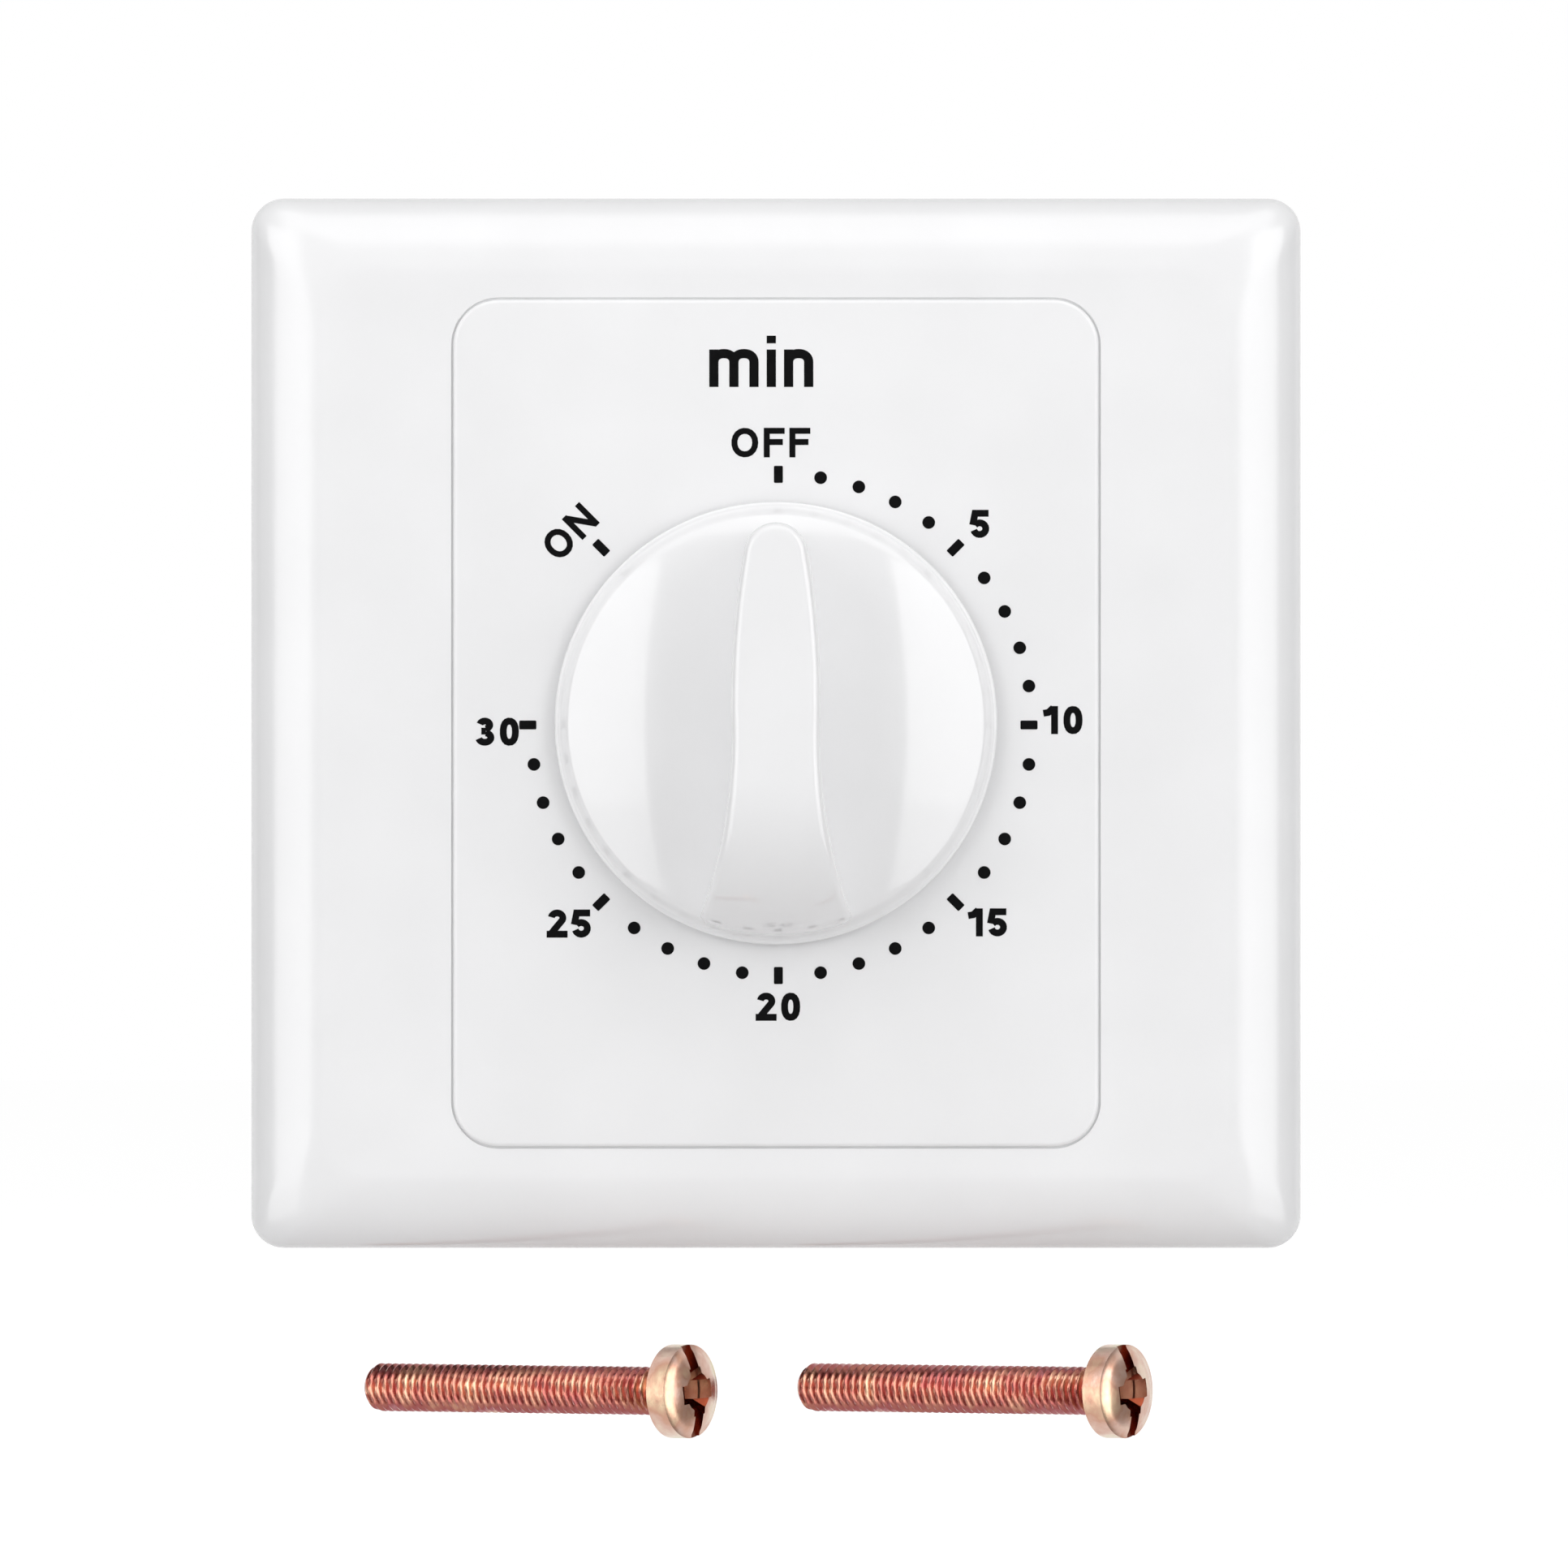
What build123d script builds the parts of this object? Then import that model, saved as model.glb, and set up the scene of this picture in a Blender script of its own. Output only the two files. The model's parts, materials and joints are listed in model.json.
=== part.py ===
from build123d import *
import math
import os

os.makedirs("parts", exist_ok=True)

# A wall timer for a lamp circuit: cover frame, dial panel, knob, clockwork and switch.
# The knob turns about the Y axis, +Z is up, and the face looks towards -Y.
# A level is a distance in front of the wall, so a level below zero is inside the wall box.
# A bearing is in degrees, clockwise from straight up as seen from the room.

# Cover frame
frame_border = 8.35
frame_corner_radius = 2.7
frame_wall = 2.0
frame_wall_gap = 0.2
pillow_width = 6.2
pillow_height = 4.5
pillow_angles = (0, 18, 36, 54, 72, 90)
corner_growth_share = 0.25
lip_wall = 1.2
lip_height = 1.4
leg_width = 8.0
leg_thickness = 1.4
leg_spacing = 40.0
leg_bead = 0.12
leg_clearance = 0.2
leg_lift = 0.8

# Dial panel
panel_corner_radius = 3.7
panel_thickness = 2.0
panel_proud = 0.3
panel_gap = 0.15
panel_edge_radius = 0.3
skirt_wall = 1.2
skirt_clearance = 0.3
skirt_lift = 0.5
panel_screw_spacing = 28.0

# Mounting base
base_clearance = 0.4
base_corner_radius = 2.0
base_thickness = 2.5
tower_rise = 3.6
opening_margin_x = 3.3
opening_margin_z = 4.3
opening_radius = 2.0
plate_clearance = 0.4
box_screw_spacing = 60.3
slot_width = 4.5
slot_length = 7.0
slot_boss_wall = 1.1
slot_boss_height = 0.6
rib_width = 1.2
rib_height = 1.5
fixing_boss_radius = 2.2
fixing_boss_gap = 0.4
fixing_boss_clearance = 0.25
fixing_boss_inset = 3.0

# Screws, all as plain shanks of their nominal size
screw_clearance = 0.03
hole_clearance = 0.15
fixing_screw_radius = 1.1
fixing_head_radius = 2.4
fixing_head_height = 1.3
fixing_head_recess = 0.1
fixing_bite = 3.4
panel_screw_radius = 1.5
panel_screw_head_radius = 2.8
panel_screw_length = 6.0
housing_screw_radius = 1.25
housing_screw_head_radius = 2.3
housing_screw_head_height = 1.6
housing_screw_bite = 4.0
box_screw_radius = 2.0
box_screw_length = 30.0
box_screw_head_radius = 3.85
box_screw_head_height = 2.8
box_screw_head_edge = 1.9
box_screw_level = 12.0
box_screw_drop = 54.6
box_screw_spread = 17.8
box_screw_offset = 9.3
box_screw_turn = 55

# Clockwork plates
plate_thickness = 1.2
plate_corner_radius = 2.0
plate_lap_x = 2.5
plate_lap_z = 2.0
rear_plate_clearance = 1.0
movement_gap = 12.0
pillar_radius = 2.2
tenon_radius = 1.3
pillar_thread_depth = 5.0
end_shake = 0.1
running_clearance = 0.05

# Main arbor, its bushes and stop
shaft_radius = 3.0
shaft_flat = 1.5
shaft_reach = 7.8
bush_wall = 1.0
bush_flange_wall = 1.0
bush_flange_thickness = 0.8
stop_thickness = 0.7
stop_hub_wall = 1.3
stop_lug_reach = 1.9
stop_gap = 0.3
stop_lug_bearing = 180
stop_lug_half_angle = 10.5
stop_tab_half_angle = 11.0
knob_range_back = 45
knob_range_forward = 270
hub_radius = 3.4
rear_shaft_radius = 2.0
rear_shaft_flat = 1.4
shaft_end_gap = 0.5

# Mainspring
spring_thickness = 0.35
spring_width = 4.2
spring_pitch = 0.95
spring_half_turns = 14
spring_side_gap = 0.3
spring_seat_gap = 0.3
spring_bearing = 180
post_radius = 0.9

# Going train, in modules for the teeth
main_module = 0.4
fine_module = 0.35
main_teeth = 60
second_pinion_teeth = 8
second_teeth = 42
third_pinion_teeth = 7
third_teeth = 36
escape_pinion_teeth = 7
wheel_tooth_shares = ((0.30, -1.3), (0.20, 0.0), (0.08, 0.95))
pinion_tooth_shares = ((0.16, -1.25), (0.16, 0.0), (0.05, 0.7))
wheel_thickness = 0.8
main_wheel_thickness = 1.0
wheel_hub_radius = 1.9
wheel_rim = 1.5
spoke_width = 1.3
spoke_count = 4
pinion_overhang = 0.7
layer_gap = 0.9
arbor_radius = 0.7
pivot_radius = 0.5
second_bearing = -60
third_bearing = 38
escape_bearing = 67
balance_bearing = 100
hub_gap = 0.1
clutch_wall = 0.3
clutch_rise = 0.8
clutch_radius = 4.4
collet_radius = 3.5
collet_height = 1.4

# Escapement
escape_teeth = 15
escape_radius = 4.5
escape_tooth_depth = 1.3
escape_tip_share = 0.12
escape_lean_share = 0.35
escape_thickness = 0.6
pallet_pin_radius = 0.3
pallet_gap = 0.45
pallet_half_angle = 42
pallet_reach = 2.0
pallet_thickness = 0.6
pallet_arm_width = 1.5
balance_radius = 4.9
balance_rim = 1.1
balance_thickness = 2.0
balance_bar_width = 1.4
balance_hub_radius = 1.5
balance_lift = 1.5

# Switch box behind the clockwork
housing_corner_radius = 3.0
housing_wall = 2.0
housing_depth = 13.9
housing_boss_wall = 1.3
housing_screw_gap_x = 0.2
housing_screw_gap_z = 0.1
cover_thickness = 2.0
shaft_hole_clearance = 0.6
wire_window_margin = 1.2
barrier_wall = 1.2
barrier_height = 8.0
cam_radius = 7.5
cam_depth = 1.2
cam_dwell_depth = 0.4
cam_thickness = 4.0
cam_hub_radius = 3.5
cam_end_gap = 0.3
cam_lift = 1.6
cam_nose_bearing = 90

# Terminals and contact blades
terminal_width = 6.0
terminal_height = 8.0
terminal_depth = 8.9
first_terminal_x = 3.0
terminal_clearance = 0.1
terminal_cam_gap = 1.0
terminal_boss_gap = 0.3
wire_bore_radius = 1.75
terminal_screw_radius = 1.7
terminal_screw_head_radius = 2.7
terminal_screw_head_height = 2.0
terminal_screw_gap = 0.4
terminal_screw_bore_gap = 0.3
access_clearance = 0.4
cover_post_radius = 0.8
blade_thickness = 0.4
blade_top = 9.6
blade_stand = 1.3
nose_rise = 2.0
nose_gap = 0.2
blade_bend_radius = 0.5
blade_foot_height = 6.0
blade_slant = 5.0
contact_radius = 1.3
contact_height = 0.6
contact_gap = 1.4
contact_drop = 1.6

# Knob
knob_radius = 18.1
knob_gap = 0.5
knob_lip_height = 0.9
knob_lip_width = 0.7
knob_side_height = 1.0
knob_dome_rise = 3.5
knob_wall = 1.8
grip_height = 14.2
grip_tip_gap = 1.1
grip_edge_radius = 0.7
grip_tip_radius = 2.6
grip_tip_sweep = 80
grip_waist = 3.61
grip_shoulder = 1.49
grip_foot_reach = 7.1
grip_core_width = 3.6
grip_core_length = 6.5
grip_core_places = (9.0, -8.0)
knob_hub_wall = 2.2
knob_hub_lift = 0.4
knob_bore_gap = 0.5
knob_rib_width = 1.0
knob_rib_count = 6
knob_rib_lift = 0.8
knob_spring_thickness = 0.4
knob_spring_width = 4.0
knob_spring_length = 5.0
knob_spring_gap = 0.05

overrun = 1.0

# Levels, worked out from the wall towards the room and back into the box
base_front = base_thickness
plate_seat = base_front + tower_rise
panel_back = plate_seat + plate_thickness
panel_front = panel_back + panel_thickness
frame_front = panel_front - panel_proud
frame_inside = frame_front - frame_wall
knob_back = panel_front + knob_gap
rear_plate_front = plate_seat - movement_gap
rear_plate_back = rear_plate_front - plate_thickness
housing_inside = rear_plate_back - housing_wall
housing_back = rear_plate_back - housing_depth
cover_back = housing_back - cover_thickness
stop_front = plate_seat - end_shake
hub_front = stop_front - stop_thickness
spring_front = hub_front - spring_side_gap
spring_back = spring_front - spring_width
hub_back = spring_back - spring_side_gap
main_front = hub_back - hub_gap
main_back = main_front - main_wheel_thickness
second_front = main_back - layer_gap - pallet_thickness
second_back = second_front - wheel_thickness
third_front = second_back - layer_gap
third_back = third_front - wheel_thickness

# The moving blade stands beside the cam, the fixed blade a contact gap further out, then the second terminal
moving_x = cam_radius + blade_stand
fixed_x = moving_x + blade_thickness + 2 * contact_height + contact_gap
terminal_places = (first_terminal_x, fixed_x + (blade_thickness + terminal_width) / 2)
housing_width = 2 * (terminal_places[1] + terminal_width / 2 + terminal_clearance + housing_wall)

# The terminals hang below the cam, and the long screws pass below them, one of them between the two
terminal_top = -(cam_radius + terminal_cam_gap)
housing_screw_hole = housing_screw_radius + hole_clearance
housing_boss_radius = housing_screw_hole + housing_boss_wall
pillar_x = housing_width / 2 - housing_wall - housing_screw_gap_x - housing_screw_hole
pillar_z = terminal_height - terminal_top + terminal_boss_gap + housing_boss_radius
housing_height = 2 * (pillar_z + housing_screw_hole + housing_screw_gap_z + housing_wall)
barrier_x = sum(terminal_places) / 2
pillar_places = (
    (-pillar_x, pillar_z),
    (pillar_x, pillar_z),
    (-pillar_x, -pillar_z),
    (barrier_x, -pillar_z),
)

grip_tip = knob_radius - knob_lip_width - grip_tip_gap

# Outlines that several pieces share, from the pillars outwards to the 86 mm side of a standard wall plate
opening_width = 2 * (pillar_x + pillar_radius + opening_margin_x)
opening_height = 2 * (pillar_z + pillar_radius + opening_margin_z)
front_plate_width = opening_width + 2 * plate_lap_x
front_plate_height = opening_height + 2 * plate_lap_z
tower_width = front_plate_width + 2 * plate_clearance
tower_height = front_plate_height + 2 * plate_clearance
rear_plate_width = opening_width - 2 * rear_plate_clearance
rear_plate_height = opening_height - 2 * rear_plate_clearance
fixing_z = tower_height / 2 + fixing_boss_gap + fixing_boss_radius
panel_width = tower_width + 2 * (skirt_clearance + skirt_wall)
panel_height = 2 * (fixing_z + fixing_boss_radius + fixing_boss_clearance + skirt_wall)
fixing_spacing_x = panel_width - 2 * (skirt_wall + fixing_boss_radius + fixing_boss_inset)
frame_side = panel_height + 2 * frame_border
base_side = frame_side - 2 * frame_wall - 2 * base_clearance
leg_row = base_side / 2 - leg_thickness - leg_clearance
pilot_radius = fixing_screw_radius + screw_clearance


def wall_plane(level):
    """The plane parallel to the wall at a level, facing the room, with local y pointing up."""
    return Plane.XZ.offset(level)


def axis_plane(place):
    """The level plane through a place on the face, with local x to the right and local y into the wall."""
    return Plane(origin=(place[0], 0, place[1]), x_dir=(1, 0, 0), z_dir=(0, 0, 1))


def axis_at(place):
    """The axis through a place on the face, square to the wall."""
    return Axis((place[0], 0, place[1]), (0, 1, 0))


def toward(place, distance, bearing):
    """The place at a distance and a bearing from another one."""
    angle = math.radians(bearing)
    return place[0] + distance * math.sin(angle), place[1] + distance * math.cos(angle)


def turned(steps):
    """Half the outline of a stepped round piece, from its front level and its (radius, back level) steps."""
    front, rest = steps[0], steps[1:]
    points = [(0, -front)]
    for radius, back in rest:
        points += [(radius, -front), (radius, -back)]
        front = back
    return points + [(0, -front)]


def gear_outline(place, teeth, module, tooth_shares, phase):
    """The outline of a toothed wheel: shares give half a tooth's width and its height from root to tip."""
    step = 2 * math.pi / teeth
    radius = teeth * module / 2
    points = []
    for tooth in range(teeth):
        middle = phase + tooth * step
        rising = [(middle - wide * step, radius + high * module) for wide, high in tooth_shares]
        falling = [(middle + wide * step, radius + high * module) for wide, high in reversed(tooth_shares)]
        points += rising + falling
    return [(place[0] + r * math.cos(a), place[1] + r * math.sin(a)) for a, r in points]


def meshed_phase(wheel, wheel_teeth, wheel_phase, pinion, pinion_teeth):
    """The phase that sets a pinion's gap over the wheel's tooth on the line between their centres."""
    line = math.atan2(pinion[1] - wheel[1], pinion[0] - wheel[0])
    turn = (wheel_phase - line) * wheel_teeth / pinion_teeth
    return line + math.pi + math.pi / pinion_teeth - turn


def wedge(bearing, half_angle, reach):
    """The corners of a wedge from the knob axis out past a reach, centred on a bearing."""
    sides = [toward((0, 0), 2 * reach, bearing + side * half_angle) for side in (-1, 1)]
    return [(0, 0), sides[0], toward((0, 0), 2 * reach, bearing), sides[1]]


def save(part, label):
    """Names a finished piece and writes it."""
    part.label = label
    export_step(part, f"parts/{label}.step")


# Places of the train's arbors, each at its meshing distance from the one before
main_place = (0, 0)
main_distance = (main_teeth + second_pinion_teeth) * main_module / 2
second_place = toward(main_place, main_distance, second_bearing)
third_distance = (second_teeth + third_pinion_teeth) * fine_module / 2
third_place = toward(second_place, third_distance, third_bearing)
escape_distance = (third_teeth + escape_pinion_teeth) * fine_module / 2
escape_place = toward(third_place, escape_distance, escape_bearing)
pallet_pin_circle = escape_radius + pallet_gap + pallet_pin_radius
balance_place = toward(escape_place, pallet_pin_circle + pallet_reach, balance_bearing)
pivot_places = (second_place, third_place, escape_place, balance_place)
escape_front = second_front
escape_back = escape_front - escape_thickness

spring_start = hub_radius + spring_seat_gap + spring_thickness / 2
spring_reach = spring_start + spring_half_turns / 2 * spring_pitch
hook_radius = post_radius + spring_seat_gap + spring_thickness / 2
post_place = toward(main_place, spring_reach + hook_radius, spring_bearing)

# Cover frame: a pillow-edged shell with a lip round its opening and four snap legs
with BuildPart() as outer_frame:
    pillow_centre = frame_side / 2 - pillow_width
    pillow_level = frame_front - pillow_height
    for angle in pillow_angles:
        turn = math.radians(angle)
        side = 2 * (pillow_centre + pillow_width * math.cos(turn))
        corner = frame_corner_radius + corner_growth_share * (frame_side - side) / 2
        with BuildSketch(wall_plane(pillow_level + pillow_height * math.sin(turn))):
            RectangleRounded(side, side, corner)
    loft()
    with BuildSketch(wall_plane(frame_wall_gap)):
        RectangleRounded(frame_side, frame_side, frame_corner_radius)
    extrude(amount=pillow_level - frame_wall_gap)
    for angle in pillow_angles:
        turn = math.radians(angle)
        side = 2 * (pillow_centre + (pillow_width - frame_wall) * math.cos(turn))
        corner = base_corner_radius + corner_growth_share * (frame_side - side) / 2
        with BuildSketch(wall_plane(pillow_level + (pillow_height - frame_wall) * math.sin(turn))):
            RectangleRounded(side, side, corner)
    loft(mode=Mode.SUBTRACT)
    inner_side = frame_side - 2 * frame_wall
    inner_corner = base_corner_radius + corner_growth_share * frame_wall
    with BuildSketch(wall_plane(0)):
        RectangleRounded(inner_side, inner_side, inner_corner)
    extrude(amount=pillow_level, mode=Mode.SUBTRACT)
    opening_x = panel_width + 2 * panel_gap
    opening_z = panel_height + 2 * panel_gap
    opening_corner = panel_corner_radius + panel_gap
    with BuildSketch(wall_plane(frame_inside - lip_height)):
        RectangleRounded(opening_x + 2 * lip_wall, opening_z + 2 * lip_wall, opening_corner + lip_wall)
    extrude(amount=lip_height)
    with BuildSketch(wall_plane(0)):
        RectangleRounded(opening_x, opening_z, opening_corner)
    extrude(amount=frame_front + overrun, mode=Mode.SUBTRACT)
    with BuildSketch(wall_plane(leg_lift)):
        with GridLocations(leg_spacing, 2 * leg_row, 2, 2):
            Rectangle(leg_width, leg_thickness)
    extrude(amount=frame_inside - leg_lift)
    with BuildSketch(wall_plane(leg_lift)):
        with GridLocations(leg_spacing, 2 * leg_row, 2, 2):
            Rectangle(leg_width, leg_thickness + 2 * leg_bead)
    extrude(amount=leg_thickness / 2)
save(outer_frame.part, "outer_frame")

# Mounting base: a flat plate with a tower for the clockwork, screw slots and leg windows
with BuildPart() as mounting_base:
    with BuildSketch(wall_plane(0)):
        RectangleRounded(base_side, base_side, base_corner_radius)
    extrude(amount=base_thickness)
    with BuildSketch(wall_plane(base_front)):
        RectangleRounded(tower_width, tower_height, opening_radius)
    extrude(amount=tower_rise + plate_thickness / 2)
    with BuildSketch(wall_plane(plate_seat)):
        RectangleRounded(
            front_plate_width + plate_clearance,
            front_plate_height + plate_clearance,
            opening_radius,
        )
    extrude(amount=plate_thickness, mode=Mode.SUBTRACT)
    with BuildSketch(wall_plane(base_front)):
        with Locations((-box_screw_spacing / 2, 0), (box_screw_spacing / 2, 0)):
            SlotOverall(slot_length + 2 * slot_boss_wall, slot_width + 2 * slot_boss_wall)
        Rectangle(panel_width, base_side, mode=Mode.SUBTRACT)
    extrude(amount=slot_boss_height)
    rib_ring = base_side - 2 * (base_side / 2 - leg_row) - leg_thickness - 2 * leg_clearance
    with BuildSketch(wall_plane(base_front)):
        RectangleRounded(rib_ring, rib_ring, base_corner_radius)
        rib_inside = rib_ring - 2 * rib_width
        RectangleRounded(rib_inside, rib_inside, base_corner_radius, mode=Mode.SUBTRACT)
    extrude(amount=rib_height)
    with BuildSketch(wall_plane(0)):
        RectangleRounded(opening_width, opening_height, opening_radius)
        with Locations((-box_screw_spacing / 2, 0), (box_screw_spacing / 2, 0)):
            SlotOverall(slot_length, slot_width)
        with GridLocations(leg_spacing, 2 * leg_row, 2, 2):
            Rectangle(leg_width + 2 * leg_clearance, leg_thickness + 2 * leg_clearance)
        with GridLocations(fixing_spacing_x, 2 * fixing_z, 2, 2):
            Circle(fixing_screw_radius + hole_clearance)
    extrude(amount=plate_seat + plate_thickness, mode=Mode.SUBTRACT)
    with BuildSketch(wall_plane(0)):
        with GridLocations(fixing_spacing_x, 2 * fixing_z, 2, 2):
            Circle(fixing_head_radius + hole_clearance)
    extrude(amount=fixing_head_height + fixing_head_recess, mode=Mode.SUBTRACT)
save(mounting_base.part, "mounting_base")

# Dial panel: the insert that carries the scale, with a skirt and four fixing bosses behind
with BuildPart() as dial_panel:
    with BuildSketch(wall_plane(panel_back)):
        RectangleRounded(panel_width, panel_height, panel_corner_radius)
    extrude(amount=panel_thickness)
    front_edges = dial_panel.faces().sort_by(Axis.Y)[0].edges()
    fillet(front_edges, radius=panel_edge_radius)
    skirt_level = base_front + skirt_lift
    with BuildSketch(wall_plane(skirt_level)):
        RectangleRounded(panel_width, panel_height, panel_corner_radius)
        RectangleRounded(
            panel_width - 2 * skirt_wall,
            panel_height - 2 * skirt_wall,
            panel_corner_radius - skirt_wall,
            mode=Mode.SUBTRACT,
        )
    extrude(amount=panel_back - skirt_level)
    with BuildSketch(wall_plane(base_front)):
        with GridLocations(fixing_spacing_x, 2 * fixing_z, 2, 2):
            Circle(fixing_boss_radius)
    extrude(amount=panel_back - base_front)
    with BuildSketch(wall_plane(0)):
        with GridLocations(fixing_spacing_x, 2 * fixing_z, 2, 2):
            Circle(pilot_radius)
    extrude(amount=base_front + fixing_bite + hole_clearance, mode=Mode.SUBTRACT)
    with BuildSketch(wall_plane(0)):
        Circle(shaft_radius + bush_wall + bush_flange_wall + shaft_hole_clearance)
    extrude(amount=panel_front + overrun, mode=Mode.SUBTRACT)
    with Locations(wall_plane(panel_front)):
        with Locations((-panel_screw_spacing / 2, 0), (panel_screw_spacing / 2, 0)):
            CounterSinkHole(
                radius=panel_screw_radius + hole_clearance,
                counter_sink_radius=panel_screw_head_radius + hole_clearance,
                counter_sink_angle=90,
            )
save(dial_panel.part, "dial_panel")

# Self-tapping screws that hold the dial panel, driven from behind the base
with BuildPart() as fixing_screws:
    head_back = fixing_head_recess
    head_front = head_back + fixing_head_height
    with BuildSketch(wall_plane(head_back)):
        with GridLocations(fixing_spacing_x, 2 * fixing_z, 2, 2):
            Circle(fixing_head_radius)
    extrude(amount=fixing_head_height)
    with BuildSketch(wall_plane(head_front)):
        with GridLocations(fixing_spacing_x, 2 * fixing_z, 2, 2):
            Circle(fixing_screw_radius)
    extrude(amount=base_front + fixing_bite - head_front)
save(fixing_screws.part, "fixing_screws")

# Countersunk screws under the knob, from the dial panel into the front plate
with BuildPart() as panel_screws:
    for side in (-1, 1):
        place = (side * panel_screw_spacing / 2, 0)
        top = panel_front - hole_clearance
        cone = panel_screw_head_radius - panel_screw_radius
        with BuildSketch(axis_plane(place)):
            with BuildLine():
                Polyline(
                    (0, -top),
                    (panel_screw_head_radius, -top),
                    (panel_screw_radius, -top + cone),
                    (panel_screw_radius, -top + panel_screw_length),
                    (0, -top + panel_screw_length),
                    close=True,
                )
            make_face()
        revolve(axis=axis_at(place))
save(panel_screws.part, "panel_screws")

# Front plate of the clockwork, with the tab that stops the knob at both ends
with BuildPart() as front_plate:
    with BuildSketch(wall_plane(plate_seat)):
        RectangleRounded(front_plate_width, front_plate_height, plate_corner_radius)
    extrude(amount=plate_thickness)
    stop_radius = shaft_radius + stop_hub_wall
    tab_inner = stop_radius + stop_gap
    tab_bearing = stop_lug_bearing + (knob_range_forward - knob_range_back + 360) / 2
    with BuildSketch(wall_plane(hub_front)):
        Circle(tab_inner + stop_lug_reach)
        Circle(tab_inner, mode=Mode.SUBTRACT)
        tab_sides = wedge(tab_bearing, stop_tab_half_angle, tab_inner + stop_lug_reach)
        Polygon(*tab_sides, align=None, mode=Mode.INTERSECT)
    extrude(amount=plate_seat - hub_front)
    with BuildSketch(wall_plane(plate_seat)):
        Circle(shaft_radius + bush_wall)
        with Locations((-panel_screw_spacing / 2, 0), (panel_screw_spacing / 2, 0)):
            Circle(panel_screw_radius + screw_clearance)
        with Locations(*pillar_places):
            Circle(tenon_radius)
        with Locations(*pivot_places):
            Circle(pivot_radius + running_clearance)
        with Locations(post_place):
            Circle(post_radius)
    extrude(amount=plate_thickness, mode=Mode.SUBTRACT)
save(front_plate.part, "front_plate")

# Rear plate of the clockwork
with BuildPart() as rear_plate:
    with BuildSketch(wall_plane(rear_plate_back)):
        RectangleRounded(rear_plate_width, rear_plate_height, plate_corner_radius)
        Circle(rear_shaft_radius + bush_wall, mode=Mode.SUBTRACT)
        with Locations(*pillar_places):
            Circle(housing_screw_hole, mode=Mode.SUBTRACT)
        with Locations(*pivot_places):
            Circle(pivot_radius + running_clearance, mode=Mode.SUBTRACT)
    extrude(amount=plate_thickness)
save(rear_plate.part, "rear_plate")

# Pillars, riveted into the front plate and tapped for the long screws at the back
with BuildPart() as plate_pillars:
    with BuildSketch(wall_plane(rear_plate_front)):
        with Locations(*pillar_places):
            Circle(pillar_radius)
    extrude(amount=movement_gap)
    with BuildSketch(wall_plane(plate_seat)):
        with Locations(*pillar_places):
            Circle(tenon_radius)
    extrude(amount=plate_thickness)
    with BuildSketch(wall_plane(rear_plate_front)):
        with Locations(*pillar_places):
            Circle(housing_screw_radius + screw_clearance)
    extrude(amount=pillar_thread_depth, mode=Mode.SUBTRACT)
save(plate_pillars.part, "plate_pillars")

# Brass bushes that carry the main arbor
with BuildPart() as front_bush:
    with BuildSketch(axis_plane(main_place)):
        with BuildLine():
            Polyline(
                *turned(
                    (
                        panel_back + bush_flange_thickness,
                        (shaft_radius + bush_wall + bush_flange_wall, panel_back),
                        (shaft_radius + bush_wall, plate_seat),
                    )
                ),
                close=True,
            )
        make_face()
    revolve(axis=axis_at(main_place))
    with BuildSketch(wall_plane(plate_seat)):
        Circle(shaft_radius + running_clearance)
    extrude(amount=plate_thickness + bush_flange_thickness, mode=Mode.SUBTRACT)
save(front_bush.part, "front_bush")

with BuildPart() as rear_bush:
    with BuildSketch(axis_plane(main_place)):
        with BuildLine():
            Polyline(
                *turned(
                    (
                        rear_plate_front + bush_flange_thickness,
                        (rear_shaft_radius + bush_wall + bush_flange_wall, rear_plate_front),
                        (rear_shaft_radius + bush_wall, rear_plate_back),
                    )
                ),
                close=True,
            )
        make_face()
    revolve(axis=axis_at(main_place))
    with BuildSketch(wall_plane(rear_plate_back)):
        Circle(rear_shaft_radius + running_clearance)
    extrude(amount=plate_thickness + bush_flange_thickness, mode=Mode.SUBTRACT)
save(rear_bush.part, "rear_bush")

# Main arbor: flatted front end for the knob, spring hub, wheel seat and flatted rear end for the cam
shaft_front = panel_front + shaft_reach
shaft_end = housing_back + shaft_end_gap
with BuildPart() as main_arbor:
    with BuildSketch(axis_plane(main_place)):
        with BuildLine():
            Polyline(
                *turned((shaft_front, (shaft_radius, hub_front), (hub_radius, hub_back), (rear_shaft_radius, shaft_end))),
                close=True,
            )
        make_face()
    revolve(axis=axis_at(main_place))
    chamfer(main_arbor.faces().sort_by(Axis.Y)[0].edges(), length=(shaft_radius - rear_shaft_radius) / 2)
    with BuildSketch(wall_plane(hub_front)):
        with Locations((shaft_flat + shaft_radius / 2, 0)):
            Rectangle(shaft_radius, 2 * shaft_radius)
    extrude(amount=shaft_front - hub_front + overrun, mode=Mode.SUBTRACT)
    with BuildSketch(wall_plane(shaft_end)):
        with Locations((rear_shaft_flat + rear_shaft_radius / 2, 0)):
            Rectangle(rear_shaft_radius, 2 * rear_shaft_radius)
    extrude(amount=housing_inside - shaft_end, mode=Mode.SUBTRACT)
save(main_arbor.part, "main_arbor")

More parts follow.
